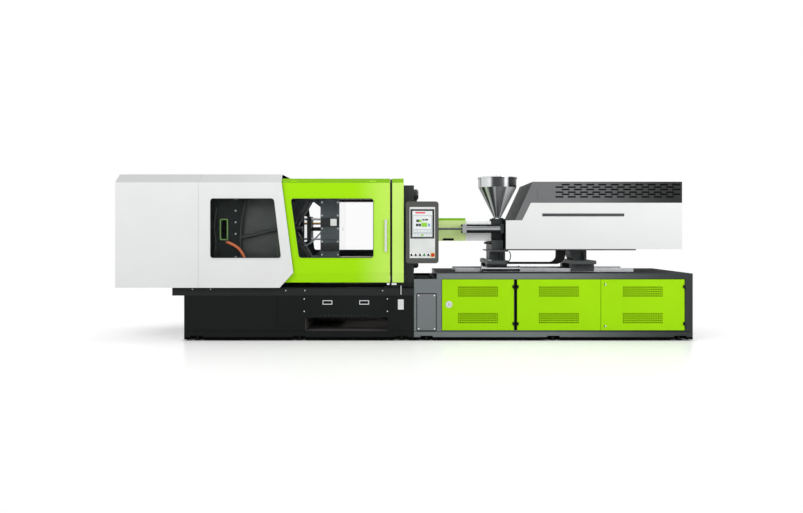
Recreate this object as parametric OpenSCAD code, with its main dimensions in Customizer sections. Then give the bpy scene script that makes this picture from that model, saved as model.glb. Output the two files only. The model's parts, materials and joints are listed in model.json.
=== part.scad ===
// Injection moulding machine with a toggle clamp, an electric injection unit and a swivel operator panel.
// X runs along the machine from the clamp to the injection end, Y from the operator side to the rear, Z up.
// The origin lies on the floor under the middle of the machine. All sizes are in millimetres.

/* [Machine] */
// Length of the machine from the clamp end wall to the injection base
machine_len = 6900; // [6800:10:7000]
// Height of the clamp and barrel axis above the floor
axis_z = 1345; // [1335:1:1355]
// Sheet metal thickness of covers and doors
sheet = 4; // [3:0.5:6]
// Gap between faces of parts that slide past each other
slide_gap = 1; // [0.5:0.1:2]

/* [Base] */
// Width of both bases over their front and rear faces
base_w = 1440; // [1420:5:1460]
// Height of the plinth under the base panels
plinth_h = 104; // [96:1:112]
// Height of the clamp base deck
clamp_deck_z = 625; // [615:1:632]
// Depth of the overhanging clamp beam
beam_h = 85; // [70:1:100]
// X of the clamp base left end
clamp_base_x0 = -2650; // [-2700:10:-2600]
// X of the overhanging beam's left end
beam_x0 = -2790; // [-2850:10:-2740]
// X of the joint between the clamp base and the injection base
base_joint_x = 107; // [100:1:114]
// Height of the injection base deck
deck_z = 805; // [800:1:812]
// Height of the lower bridge deck next to the fixed platen
bridge_z = 738; // [730:1:745]
// X where the deck rises from the bridge
deck_step_x = 380; // [360:1:400]
// Height of the levelling pads under the bases
pad_h = 14; // [12:1:18]
// Radius of a levelling pad
pad_r = 60; // [50:1:70]

/* [Part chute] */
// X of the chute mouth's left edge
chute_x0 = -1199; // [-1210:1:-1180]
// X of the chute mouth's right edge
chute_x1 = -211; // [-230:1:-205]
// Height of the chute mouth above the plinth
chute_h = 156; // [145:1:165]

/* [Base doors] */
// Width of the left base door
door_a_w = 860; // [850:1:866]
// Width of the middle and right base doors
door_b_w = 1000; // [990:1:1006]
// Gap around a base door
door_gap = 6; // [4:0.5:8]
// Width of the post between the left and middle doors
door_post_w = 28; // [24:1:32]
// Height of the rail above the base doors
top_rail_h = 66; // [60:1:72]
// Width of a ventilation slot in a base door
vent_slot_w = 12; // [8:0.5:14]
// Height of a ventilation slot in a base door
vent_slot_h = 17; // [12:1:19]
// Radius of the round door lock
lock_r = 40; // [34:1:44]

/* [Clamp] */
// Distance between tie bar centres in width and in height
tie_pitch = 840; // [836:1:850]
// Radius of a tie bar
tie_r = 55; // [50:1:58]
// Running gap between a tie bar and a platen that slides on it
tie_clear = 0.5; // [0.3:0.1:1]
// Width of a platen's edge outside the tie bars
platen_edge = 55; // [50:1:65]
// Thickness of the fixed platen
fixed_t = 260; // [240:1:280]
// X of the fixed platen's mould face
fixed_x = -150; // [-160:1:-140]
// Thickness of the moving platen's mould plate
moving_t = 233; // [220:1:240]
// X of the moving platen's mould face at rest, open
moving_x = -803; // [-810:1:-795]
// Thickness of the tail platen
tail_t = 230; // [210:1:250]
// Length of each toggle link between its pins
link_l = 430; // [420:1:436]
// Angle of the links to the clamp axis at rest, open
link_open = 60; // [58:0.5:61]
// Angle of the links when the mould is locked
link_shut = 3; // [2:0.5:4]
// Height of the outer toggle pins above the clamp axis
pin_h = 462; // [458:1:470]
// Radius of a toggle pin
pin_r = 36; // [32:1:38]
// Radius of a link eye
eye_r = 62; // [58:1:64]
// Distance of the front toggle pins behind the moving platen
pin_back = 200; // [195:1:210]
// Distance of the rear toggle pins in front of the tail platen
pin_front = 290; // [286:1:300]
// Radius of the locating hole for the mould
locating_r = 80; // [60:1:90]
// Depth of the locating hole
locating_depth = 40; // [30:1:60]
// Radius of a mould mounting hole
mould_bolt_r = 10; // [8:0.5:12]
// Distance between mould mounting holes
mould_bolt_pitch = 500; // [460:5:540]

/* [Covers] */
// Distance of the clamp cover faces from the machine's middle plane
cover_y = 790; // [785:1:800]
// Distance of the door faces from the machine's middle plane
door_y = 762; // [758:1:766]
// Height of the top fold line of the covers
fold_z = 1893; // [1885:1:1900]
// Height of the cover roof
roof_z = 2000; // [1990:1:2010]
// Distance from the cover face to the roof edge
roof_in = 150; // [140:1:160]
// X of the seam between the two clamp cover panels
seam_x = -2460; // [-2480:1:-2440]
// X of the clamp cover's nose
nose_x = -1330; // [-1340:1:-1320]
// Height of the clamp cover's nose and of the doors' lower fold
nose_z = 818; // [810:1:826]
// Height of the lower edge of the clamp covers
cover_bottom_z = 638; // [634:1:645]
// Height of the lower edge of the safety doors
door_bottom_z = 698; // [694:1:704]
// X of the safety door's closing edge
door_x1 = -180; // [-186:1:-176]
// Width of the safety door
door_w = 1340; // [1320:5:1360]
// Width of the fixed green post
post_w = 136; // [130:1:140]
// Width of the dark jamb between the door and the post
jamb_w = 27; // [24:1:30]
// Height of the window sills
window_z0 = 996; // [985:1:1005]
// Height of the window heads
window_z1 = 1698; // [1690:1:1705]
// Corner radius of the windows
window_r = 22; // [10:1:30]
// Sill height of the rear door's window
rear_sill_z = 1060; // [1050:1:1070]
// Head height of the rear door's window
rear_head_z = 1775; // [1765:1:1785]

/* [Operator panel] */
// Width of the operator panel
hmi_w = 390; // [380:1:395]
// Height of the operator panel
hmi_h = 737; // [720:1:750]
// Depth of the operator panel's housing
hmi_d = 52; // [46:1:56]
// X of the operator panel's left edge
hmi_x = 9; // [7:0.5:12]
// Height of the operator panel's lower edge
hmi_z = 929; // [920:1:935]
// Radius of a push button
button_r = 13; // [11:0.5:15]
// Travel of a push button
button_travel = 4; // [3:0.5:5]

/* [Injection unit] */
// Width of the injection cover
icover_w = 1000; // [990:1:1010]
// X of the injection cover's left edge
icover_x0 = 1240; // [1235:1:1250]
// X of the injection cover's right edge
icover_x1 = 3406; // [3390:1:3420]
// Height of the injection cover's lower edge
icover_z0 = 1093; // [1090:1:1100]
// Height of the line between the white cover and the grey cap
icover_z1 = 1662; // [1655:1:1670]
// Height of the grey cap's roof
icover_z2 = 1922; // [1915:1:1930]
// Height of the ledge in front of the slanted end
ledge_z = 1447; // [1442:1:1452]
// Length of a ventilation slot in the grey cap
cap_slot_l = 98; // [80:1:110]
// Distance between ventilation slots in a row
cap_slot_pitch = 151; // [145:1:158]
// Radius of the barrel
barrel_r = 75; // [70:1:80]
// Radius of the plasticising screw
screw_r = 30; // [25:1:34]
// X of the nozzle tip at rest
nozzle_x = -100; // [-105:1:-90]
// Distance of the rails from the machine's middle plane
rail_y = 270; // [260:1:280]
// Height of a linear rail
rail_h = 45; // [40:1:50]
// Distance of the traverse cylinders from the machine's middle plane
cylinder_y = 345; // [340:1:350]
// Radius of a traverse rod
rod_r = 14; // [12:0.5:16]
// X of the hopper's axis
hopper_x = 1200; // [1195:1:1205]
// Radius of the hopper
hopper_r = 245; // [235:1:250]
// Height of the hopper above the feed flange
hopper_h = 530; // [520:1:535]
// Wall of the hopper
hopper_wall = 3; // [2:0.5:4]

/* [Hidden] */
$fn = 64;

// Paint colours
black_paint = [0.10, 0.11, 0.12];
grey_paint = [0.30, 0.31, 0.32];
panel_grey = [0.42, 0.43, 0.45];
white_paint = [0.90, 0.91, 0.91];
green_paint = [0.60, 0.86, 0.06];
cast_paint = [0.17, 0.20, 0.22];
steel = [0.75, 0.76, 0.78];
polished = [0.86, 0.87, 0.89];

// Ends and faces of the machine
x_left = -machine_len / 2;
x_right = machine_len / 2;
base_front = -base_w / 2;
base_rear = base_w / 2;

// Toggle geometry, from the open moving platen back to the tail platen
moving_back = moving_x - moving_t;
front_pin_x = moving_back - pin_back;
knee_x = front_pin_x - link_l * cos(link_open);
rear_pin_x = knee_x - link_l * cos(link_open);
knee_h = pin_h - link_l * sin(link_open);
tail_front = rear_pin_x - pin_front;
tail_back = tail_front - tail_t;
fixed_back = fixed_x + fixed_t;
link_y = 180;
rear_link_t = 90;
side_link_t = 44;
link_gap = 4;
side_link_off = rear_link_t / 2 + link_gap + side_link_t / 2;
pin_len = rear_link_t + 2 * (link_gap + side_link_t);
running_fit = 0.05;

// Crosshead pins, from the closed linkage
arm_r = 330;
arm_angle = 12;
arm_eye_r = 45;
arm_pin_r = 24;
crosshead_pin_h = 110;
crosshead_lean = 40;
short_rise = pin_h - arm_r * sin(link_shut + arm_angle) - crosshead_pin_h;
short_l = sqrt(short_rise * short_rise + crosshead_lean * crosshead_lean);
arm_x = rear_pin_x + arm_r * cos(link_open + arm_angle);
arm_h = pin_h - arm_r * sin(link_open + arm_angle);
short_drop = arm_h - crosshead_pin_h;
crosshead_x = arm_x - sqrt(short_l * short_l - short_drop * short_drop);
crosshead_travel = rear_pin_x + arm_r * cos(link_shut + arm_angle) - crosshead_lean - crosshead_x;
guide_y = 320;
guide_r = 28;
drive_screw_r = 32;
guide_end_x = crosshead_x + crosshead_travel + 60;

// Block between two corners
module block(x0, x1, y0, y1, z0, z1) {
    translate([x0, y0, z0]) cube([x1 - x0, y1 - y0, z1 - z0]);
}

// Round bar along X
module bar_x(x0, x1, y, z, r) {
    translate([x0, y, z]) rotate([0, 90, 0]) cylinder(h = x1 - x0, r = r);
}

// Round bar along Y
module bar_y(x, y0, y1, z, r) {
    translate([x, y1, z]) rotate([90, 0, 0]) cylinder(h = y1 - y0, r = r);
}

// Round bar along Z
module bar_z(x, y, z0, z1, r) {
    translate([x, y, z0]) cylinder(h = z1 - z0, r = r);
}

// Outline in X and Z, given its thickness from y0 to y1
module slab(y0, y1) {
    translate([0, y1, 0]) rotate([90, 0, 0]) linear_extrude(y1 - y0) children();
}

// Section in Y and Z, drawn out along X
module along_x(x0, x1) {
    translate([x0, 0, 0]) rotate([90, 0, 90]) linear_extrude(x1 - x0) children();
}

// The same piece on the operator side and on the rear side
module both_sides() {
    children();
    mirror([0, 1, 0]) children();
}

// The same piece at the four tie bars
module at_tie_bars() {
    for (sy = [-1, 1], sz = [-1, 1])
        translate([0, sy * tie_pitch / 2, axis_z + sz * tie_pitch / 2]) children();
}

// Levelling feet stand in pockets of the plinth
foot_inset = 150;
pocket_w = 150;
pocket_h = 44;
pocket_d = 90;
foot_stem_r = 20;
clamp_feet_x = [clamp_base_x0 + foot_inset, (clamp_base_x0 + base_joint_x) / 2,
    base_joint_x - foot_inset];
inj_feet_x = [base_joint_x + foot_inset, (base_joint_x + x_right) / 2, x_right - foot_inset];
plinth_top = pad_h + plinth_h;
foot_y = base_rear - pocket_d / 2 - 8;
foot_shank_h = 40;

module foot_pockets(xs) {
    for (x = xs)
        both_sides()
            block(x - pocket_w / 2, x + pocket_w / 2, base_rear - pocket_d, base_rear + 1, pad_h - 1,
                pad_h + pocket_h);
}

module leveling_feet() {
    color(black_paint)
        for (x = concat(clamp_feet_x, inj_feet_x), sy = [-1, 1]) {
            bar_z(x, sy * foot_y, 0, pad_h, pad_r * 0.6);
            bar_z(x, sy * foot_y, pad_h, pad_h + pocket_h, foot_stem_r);
        }
}

// Clamp base: a closed weldment with a part chute, an overhanging beam and slide ways
way_y = 430;
way_w = 100;
way_h = 40;
way_top = clamp_deck_z + way_h;
way_x0 = tail_back - 150;
way_x1 = fixed_x - 100;
groove = 6;
chute_z0 = plinth_top;
chute_z1 = plinth_top + chute_h;
shaft_x0 = moving_x + 40;
shaft_x1 = fixed_x - 40;
shaft_y = 330;
panel_inset = 16;
panel_x0 = chute_x0 - 24;
panel_x1 = chute_x1 + 13;
beam_z = clamp_deck_z - beam_h;
beam_y = base_rear + 8;
cover_seam_x = -1538;

module clamp_base() {
    color(black_paint)
        difference() {
            union() {
                block(clamp_base_x0, base_joint_x, base_front, base_rear, pad_h, beam_z);
                block(beam_x0, base_joint_x, -beam_y, beam_y, beam_z, clamp_deck_z);
                both_sides()
                    block(way_x0, way_x1, way_y - way_w / 2, way_y + way_w / 2, clamp_deck_z, way_top);
            }
            foot_pockets(clamp_feet_x);
            block(chute_x0, chute_x1, base_front - 1, shaft_y, chute_z0, chute_z1);
            block(shaft_x0, shaft_x1, -shaft_y, shaft_y, chute_z0, clamp_deck_z + 1);
            block(panel_x0, panel_x1, base_front - 1, base_front + panel_inset, chute_z1, beam_z);
            both_sides() {
                block(clamp_base_x0 - 1, base_joint_x + 1, base_rear - groove, base_rear + 1,
                    plinth_top - groove, plinth_top);
                block(cover_seam_x, cover_seam_x + groove, base_rear - groove, base_rear + 1,
                    plinth_top, beam_z);
            }
        }
}

// Removable panel over the chute mouth, with two recessed pulls and a row of holes
pull_w = 116;
pull_h = 50;
pull_z = 458;
pull_x = [panel_x0 + 292, panel_x1 - 292];
drip_holes = 14;
drip_pitch = 45;

module discharge_panel() {
    color(black_paint)
        difference() {
            block(panel_x0 + 2, panel_x1 - 2, base_front, base_front + panel_inset, chute_z1 + 2,
                beam_z - 2);
            for (x = pull_x)
                block(x - pull_w / 2 + 8, x + pull_w / 2 - 8, base_front - 1, base_front + 11,
                    pull_z - pull_h / 2 + 8, pull_z + pull_h / 2 - 8);
            for (i = [0 : drip_holes - 1])
                bar_y((panel_x0 + panel_x1) / 2 + (i - (drip_holes - 1) / 2) * drip_pitch,
                    base_front - 1, base_front + panel_inset + 1, chute_z1 + 28, 6);
        }
    color(polished)
        for (x = pull_x)
            difference() {
                block(x - pull_w / 2, x + pull_w / 2, base_front - 5, base_front,
                    pull_z - pull_h / 2, pull_z + pull_h / 2);
                block(x - pull_w / 2 + 8, x + pull_w / 2 - 8, base_front - 6, base_front + 1,
                    pull_z - pull_h / 2 + 8, pull_z + pull_h / 2 - 8);
            }
}

// Injection base: deck, posts and plinth around two cabinets
cabinet_z0 = plinth_top;
cabinet_z1 = deck_z - top_rail_h;
cabinet_a_x0 = 438;
cabinet_a_x1 = cabinet_a_x0 + door_a_w + 2 * door_gap;
cabinet_b_x0 = cabinet_a_x1 + door_post_w;
cabinet_b_x1 = cabinet_b_x0 + 2 * door_b_w + 3 * door_gap;
cabinet_back = base_rear - 60;
access_x0 = 145;
access_x1 = 369;
access_z0 = plinth_top + 5;
access_z1 = 559;
access_d = 10;
bridge_lip = 14;

module injection_base() {
    color(black_paint)
        difference() {
            block(base_joint_x, x_right, base_front, base_rear, pad_h, deck_z);
            block(base_joint_x - 1, deck_step_x, base_front - 1, base_rear + 1, bridge_z, deck_z + 1);
            block(base_joint_x - 1, deck_step_x - 40, base_front + bridge_lip,
                base_rear - bridge_lip, bridge_z - 30, bridge_z + 1);
            foot_pockets(inj_feet_x);
            block(cabinet_a_x0, cabinet_a_x1, base_front - 1, cabinet_back, cabinet_z0, cabinet_z1);
            block(cabinet_b_x0, cabinet_b_x1, base_front - 1, cabinet_back, cabinet_z0, cabinet_z1);
            block(access_x0 - 4, access_x1 + 4, base_front - 1, base_front + access_d, access_z0 - 4,
                access_z1 + 4);
            both_sides()
                block(base_joint_x - 1, x_right + 1, base_rear - groove, base_rear + 1,
                    plinth_top - groove - 6, plinth_top - 6);
        }
}

// Bolt-on panels: the access cover and a bare plate on the operator side, two vented panels at the rear
rear_panel_t = 6;
plate_w = 69;
plate_h = 121;
plate_left = base_joint_x - 193;
plate_low = plinth_top + 255;
rear_panel_x = [cabinet_a_x0, cabinet_b_x0];
rear_panel_end = [cabinet_a_x1, cabinet_b_x1];

module base_panels() {
    color(panel_grey) {
        block(access_x0, access_x1, base_front - 2, base_front + access_d, access_z0, access_z1);
        for (i = [0, 1])
            difference() {
                block(rear_panel_x[i], rear_panel_end[i], base_rear, base_rear + rear_panel_t,
                    cabinet_z0, cabinet_z1);
                for (k = [0 : 9])
                    translate([rear_panel_x[i] + 140, base_rear - 1, cabinet_z1 - 200 + k * 14])
                        cube([460, rear_panel_t + 2, 6]);
            }
        block(plate_left, plate_left + plate_w, base_front - 3, base_front, plate_low, plate_low + plate_h);
        hinge_seat(door_a_x + door_a_w + door_gap / 2, 1);
        hinge_seat(door_b_x - door_gap / 2, -1);
        hinge_seat(door_c_x + door_b_w + door_gap / 2, 1);
    }
}

// Base doors: folded trays with two patches of slots, outside hinges and round locks
door_tray = 22;
door_z0 = cabinet_z0 + door_gap;
door_z1 = cabinet_z1 - door_gap;
hinge_r = 6;
hinge_off = hinge_r + 1;
hinge_h = 36;
hinge_pin_r = 3;
hinge_seat_h = 12;
hinge_z = [door_z0 + 62, door_z1 - 104];
slot_cols = 23;
slot_pitch = 21;
slot_rows = 5;
slot_row_pitch = 26;
patch_off = 145;

module slot_patch(xc, zc) {
    for (i = [0 : slot_cols - 1], j = [0 : slot_rows - 1])
        translate([xc + (i - (slot_cols - 1) / 2) * slot_pitch - vent_slot_w / 2, base_front - 1,
            zc + (j - (slot_rows - 1) / 2) * slot_row_pitch - vent_slot_h / 2])
            cube([vent_slot_w, door_tray, vent_slot_h]);
}

module base_door(x0, w, hinge_at_right, lock) {
    x1 = x0 + w;
    hx = hinge_at_right ? x1 + door_gap / 2 : x0 - door_gap / 2;
    leaf = hinge_at_right ? [-20, 0] : [0, 20];
    color(green_paint)
        difference() {
            block(x0, x1, base_front, base_front + door_tray, door_z0, door_z1);
            block(x0 + sheet, x1 - sheet, base_front + sheet, base_front + door_tray + 1,
                door_z0 + sheet, door_z1 - sheet);
            slot_patch((x0 + x1) / 2, door_z1 - patch_off);
            slot_patch((x0 + x1) / 2, door_z0 + patch_off);
        }
    color(black_paint)
        for (z = hinge_z) {
            difference() {
                union() {
                    bar_z(hx, base_front - hinge_off, z, z + hinge_h, hinge_r);
                    block(hx + leaf[0], hx + leaf[1], base_front - hinge_off, base_front, z, z + hinge_h);
                }
                bar_z(hx, base_front - hinge_off, z - 1, z + hinge_h + 1, hinge_pin_r + running_fit);
            }
        }
    color(polished)
        for (p = lock) {
            bar_y(p[0], base_front - 8, base_front, p[1], p[2]);
            bar_y(p[0], base_front - 20, base_front - 8, p[1], p[2] * 0.45);
        }
}

door_a_x = cabinet_a_x0 + door_gap;
door_b_x = cabinet_b_x0 + door_gap;
door_c_x = door_b_x + door_b_w + door_gap;
small_lock_r = 12;
lock_z = door_z0 + 310;
lock_in = 82;
small_lock_in = 50;

// Fixed half of a base door hinge: a knuckle with a foot on the frame, and the pin
module hinge_seat(hx, toward) {
    for (z = hinge_z) {
        bar_z(hx, base_front - hinge_off, z - hinge_seat_h, z - running_fit, hinge_r);
        block(min(hx, hx + toward * 15), max(hx, hx + toward * 15), base_front - hinge_off - hinge_r,
            base_front - 1, z - hinge_seat_h, z - running_fit);
        block(min(hx + toward * 4, hx + toward * 15), max(hx + toward * 4, hx + toward * 15), base_front - 1,
            base_front, z - hinge_seat_h, z - running_fit);
        bar_z(hx, base_front - hinge_off, z - hinge_seat_h, z + hinge_h, hinge_pin_r);
    }
}

module base_door_left() {
    base_door(door_a_x, door_a_w, true, [[door_a_x + lock_in, lock_z, lock_r]]);
}

module base_door_middle() {
    base_door(door_b_x, door_b_w, false, []);
}

module base_door_right() {
    base_door(door_c_x, door_b_w, true, [
        [door_c_x + small_lock_in, door_z0 + 50, small_lock_r],
        [door_c_x + small_lock_in, door_z1 - 60, small_lock_r]
    ]);
}

// Platens and tie bars
platen_half = tie_pitch / 2 + tie_r + platen_edge;
platen_z0 = axis_z - platen_half;
platen_z1 = axis_z + platen_half;
nozzle_hole_r = 62;
boss_r = 92;
boss_l = 120;
side_pocket = 18;
pocket_edge = 105;
pocket_half = tie_pitch / 2 - tie_r - pocket_edge;
bolt_depth = 60;
shoe_y0 = way_y - 60;
shoe_y1 = way_y + 60;

module mould_holes(x0, x1) {
    for (sy = [-1, 1], sz = [-1, 1])
        bar_x(x0, x1, sy * mould_bolt_pitch / 2, axis_z + sz * mould_bolt_pitch / 2, mould_bolt_r);
}

module fixed_platen() {
    color(cast_paint)
        difference() {
            union() {
                block(fixed_x, fixed_back, -platen_half, platen_half, platen_z0, platen_z1);
                both_sides()
                    block(fixed_x + 20, base_joint_x, shoe_y0, platen_half, clamp_deck_z, platen_z0);
            }
            at_tie_bars() bar_x(fixed_x - 1, fixed_back + 1, 0, 0, tie_r + running_fit);
            bar_x(fixed_x - 1, fixed_x + locating_depth, 0, axis_z, locating_r);
            bar_x(fixed_x - 1, fixed_back + 1, 0, axis_z, nozzle_hole_r);
            mould_holes(fixed_x - 1, fixed_x + bolt_depth);
            both_sides()
                block(fixed_x + 60, fixed_back - 60, platen_half - side_pocket, platen_half + 1,
                    axis_z - pocket_half, axis_z + pocket_half);
        }
}

// Ear of a toggle pin on a platen, upper side: a tapered rib ending in a round eye
module pin_ear(y0, y1, root_x, root_z, eye_x) {
    slab(y0, y1)
        polygon([
            [root_x, axis_z + root_z],
            [eye_x, axis_z + pin_h - eye_r],
            [eye_x, axis_z + pin_h + eye_r],
            [root_x, axis_z + pin_h + eye_r]
        ]);
    bar_y(eye_x, y0, y1, axis_z + pin_h, eye_r);
}

// The same piece above and below the clamp axis
module above_and_below() {
    children();
    translate([0, 0, 2 * axis_z]) mirror([0, 0, 1]) children();
}

module below_axis() {
    translate([0, 0, 2 * axis_z]) mirror([0, 0, 1]) children();
}

module tail_platen() {
    color(cast_paint)
        difference() {
            union() {
                block(tail_back, tail_front, -platen_half, platen_half, platen_z0, platen_z1);
                both_sides()
                    block(tail_back, tail_front, shoe_y0, shoe_y1, way_top, platen_z0);
                above_and_below()
                    both_sides()
                        for (s = [-1, 1])
                            pin_ear(link_y + s * side_link_off - side_link_t / 2,
                                link_y + s * side_link_off + side_link_t / 2,
                                tail_front, pin_h - eye_r - 60, rear_pin_x);
            }
            at_tie_bars() bar_x(tail_back - 1, tail_front + 1, 0, 0, tie_r + running_fit);
            bar_x(tail_back - 1, tail_front + 1, 0, axis_z, drive_screw_r + 2);
            both_sides()
                block(tail_back + 50, tail_front - 50, platen_half - side_pocket, platen_half + 1,
                    axis_z - pocket_half, axis_z + pocket_half);
        }
    color(steel) {
        above_and_below()
            both_sides()
                bar_y(rear_pin_x, link_y - pin_len / 2, link_y + pin_len / 2, axis_z + pin_h, pin_r);
        both_sides()
            bar_x(tail_front, guide_end_x, guide_y, axis_z, guide_r);
    }
}

nut_r = 86;
nut_l = 96;
end_nut_r = 68;
end_nut_l = 42;

module tie_bars() {
    color(polished)
        at_tie_bars() bar_x(tail_back - nut_l - 40, fixed_back + end_nut_l + 14, 0, 0, tie_r);
    color(cast_paint)
        at_tie_bars() {
            bar_x(tail_back - nut_l, tail_back, 0, 0, nut_r);
            bar_x(fixed_back, fixed_back + end_nut_l, 0, 0, end_nut_r);
        }
}

// Moving platen on the tie bars and the bed ways
ejector_bar_r = 25;
ejector_guide_r = 14;
ejector_guide_y = 90;
ejector_guide_h = 128;
ejector_plate_t = 50;
ejector_gap = 165;
ejector_end = 250;
ejector_end_t = 20;

module moving_platen() {
    color(cast_paint)
        difference() {
            union() {
                block(moving_back, moving_x, -platen_half, platen_half, platen_z0, platen_z1);
                at_tie_bars() bar_x(moving_back - boss_l, moving_back, 0, 0, boss_r);
                both_sides()
                    block(moving_back - boss_l, moving_x, shoe_y0, shoe_y1, way_top + slide_gap,
                        platen_z0);
                above_and_below()
                    both_sides()
                        pin_ear(link_y - rear_link_t / 2, link_y + rear_link_t / 2, moving_back, 250,
                            front_pin_x);
            }
            at_tie_bars() bar_x(moving_back - boss_l - 1, moving_x + 1, 0, 0, tie_r + tie_clear);
            bar_x(moving_back - 1, moving_x + 1, 0, axis_z, ejector_bar_r + 2);
            mould_holes(moving_x - bolt_depth, moving_x + 1);
            both_sides()
                for (z = [axis_z - 330, axis_z - 70, axis_z + 190])
                    block(moving_back + 40, moving_x - 40, platen_half - side_pocket,
                        platen_half + 1, z, z + 200);
        }
}

module ejector_guides() {
    color(polished)
        for (sy = [-1, 1], sz = [-1, 1])
            bar_x(moving_back - ejector_end, moving_back, sy * ejector_guide_y,
                axis_z + sz * ejector_guide_h, ejector_guide_r);
    color([0.75, 0.58, 0.28])
        bar_x(moving_back - ejector_end, moving_back, 0, axis_z + 70, ejector_guide_r);
    color(cast_paint)
        block(moving_back - ejector_end - ejector_end_t, moving_back - ejector_end,
            -ejector_guide_y - 40, ejector_guide_y + 40, axis_z - ejector_guide_h - 36,
                axis_z + ejector_guide_h + 36);
}

module ejector_plate() {
    px = moving_back - ejector_gap - ejector_plate_t;
    color(grey_paint)
        difference() {
            block(px, px + ejector_plate_t, -ejector_guide_y - 32, ejector_guide_y + 32,
                axis_z - ejector_guide_h - 30, axis_z + ejector_guide_h + 30);
            for (sy = [-1, 1], sz = [-1, 1])
                bar_x(px - 1, px + ejector_plate_t + 1, sy * ejector_guide_y,
                    axis_z + sz * ejector_guide_h, ejector_guide_r + tie_clear);
            bar_x(px - 1, px + ejector_plate_t + 1, 0, axis_z + 70, ejector_guide_r + tie_clear);
        }
    color(polished)
        bar_x(px + ejector_plate_t, moving_x - 12, 0, axis_z, ejector_bar_r);
}

// Toggle links, drawn at rest with the clamp open
module eye(x, h, r) {
    translate([x, axis_z + h]) circle(r = r, $fn = 32);
}

module rear_links() {
    color(cast_paint)
        both_sides()
            difference() {
                slab(link_y - rear_link_t / 2, link_y + rear_link_t / 2)
                    hull() {
                        eye(rear_pin_x, pin_h, eye_r);
                        eye(knee_x, knee_h, eye_r);
                        eye(arm_x, arm_h, arm_eye_r);
                    }
                bar_y(rear_pin_x, link_y - rear_link_t, link_y + rear_link_t, axis_z + pin_h,
                    pin_r + running_fit);
            }
    color(steel)
        both_sides() {
            bar_y(knee_x, link_y - pin_len / 2, link_y + pin_len / 2, axis_z + knee_h, pin_r);
            bar_y(arm_x, link_y - pin_len / 2, link_y + pin_len / 2, axis_z + arm_h, arm_pin_r);
        }
}

module rear_links_upper() {
    rear_links();
}

module rear_links_lower() {
    below_axis() rear_links();
}

// A pair of side plates from a pin to an open pivot, with a cap over the pivot
module side_links(x0, h0, x1, h1, r, bore) {
    color(cast_paint)
        both_sides()
            for (s = [-1, 1]) {
                yc = link_y + s * side_link_off;
                difference() {
                    slab(yc - side_link_t / 2, yc + side_link_t / 2)
                        hull() {
                            eye(x0, h0, r);
                            eye(x1, h1, r);
                        }
                    bar_y(x0, yc - side_link_t, yc + side_link_t, axis_z + h0, bore + running_fit);
                }
            }
    color(steel)
        both_sides() {
            bar_y(x1, link_y - pin_len / 2 - 8, link_y - pin_len / 2, axis_z + h1, bore);
            bar_y(x1, link_y + pin_len / 2, link_y + pin_len / 2 + 8, axis_z + h1, bore);
        }
}

module front_links_upper() {
    side_links(knee_x, knee_h, front_pin_x, pin_h, eye_r, pin_r);
}

module front_links_lower() {
    below_axis() front_links_upper();
}

module crosshead_links_upper() {
    side_links(arm_x, arm_h, crosshead_x, crosshead_pin_h, arm_eye_r, arm_pin_r);
}

module crosshead_links_lower() {
    below_axis() crosshead_links_upper();
}

// Crosshead on two guide rods, driven by the clamp screw
cross_back = crosshead_x - 100;
cross_front = crosshead_x - 62;
cross_nut_r = 70;

module crosshead() {
    color(grey_paint)
        difference() {
            union() {
                block(cross_back, cross_front, -guide_y - 55, guide_y + 55, axis_z - 60, axis_z + 60);
                block(cross_back, cross_front, -link_y - rear_link_t / 2, link_y + rear_link_t / 2,
                    axis_z - crosshead_pin_h - arm_eye_r, axis_z + crosshead_pin_h + arm_eye_r);
                above_and_below()
                    both_sides() {
                        block(cross_front, crosshead_x, link_y - rear_link_t / 2,
                            link_y + rear_link_t / 2,
                            axis_z + crosshead_pin_h - arm_eye_r, axis_z + crosshead_pin_h + arm_eye_r);
                        bar_y(crosshead_x, link_y - rear_link_t / 2, link_y + rear_link_t / 2,
                            axis_z + crosshead_pin_h, arm_eye_r);
                    }
                bar_x(cross_front, crosshead_x + 50, 0, axis_z, cross_nut_r);
            }
            bar_x(cross_back - 1, crosshead_x + 51, 0, axis_z, drive_screw_r + tie_clear);
            both_sides()
                bar_x(cross_back - 1, cross_front + 1, guide_y, axis_z, guide_r + tie_clear);
        }
}

// Clamp screw with its pulley, and the drive behind the tail platen
pulley_r = 170;
pulley_x0 = tail_back - 160;
pulley_x1 = tail_back - 60;
motor_h = 330;
motor_r = 110;
motor_pulley_r = 62;
belt_t = 8;
motor_x0 = tail_back - 560;
motor_x1 = tail_back - 190;
motor_plate_t = 18;
motor_foot = 160;
motor_plate_w = 240;

module clamp_screw() {
    color(polished)
        bar_x(pulley_x1, guide_end_x, 0, axis_z, drive_screw_r);
    color(grey_paint)
        bar_x(pulley_x0, pulley_x1, 0, axis_z, pulley_r);
}

module clamp_drive() {
    mz = axis_z - motor_h;
    color(black_paint) {
        bar_x(motor_x0, motor_x1, 0, mz, motor_r);
        block(motor_x1, motor_x1 + motor_plate_t, -motor_plate_w / 2, motor_plate_w / 2, mz - motor_foot,
            mz + motor_r + 6);
        block(motor_x1, tail_back, -motor_plate_w / 2, motor_plate_w / 2, mz - motor_foot,
            mz - motor_foot + 30);
    }
    color(grey_paint)
        bar_x(motor_x1 + motor_plate_t, pulley_x1, 0, mz, motor_pulley_r);
    color([0.05, 0.05, 0.05])
        along_x(pulley_x0 + 14, pulley_x1 - 14)
            difference() {
                hull() {
                    translate([0, axis_z]) circle(r = pulley_r + slide_gap + belt_t, $fn = 48);
                    translate([0, mz]) circle(r = motor_pulley_r + belt_t, $fn = 48);
                }
                hull() {
                    translate([0, axis_z]) circle(r = pulley_r + slide_gap, $fn = 48);
                    translate([0, mz]) circle(r = motor_pulley_r, $fn = 48);
                }
            }
}

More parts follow.
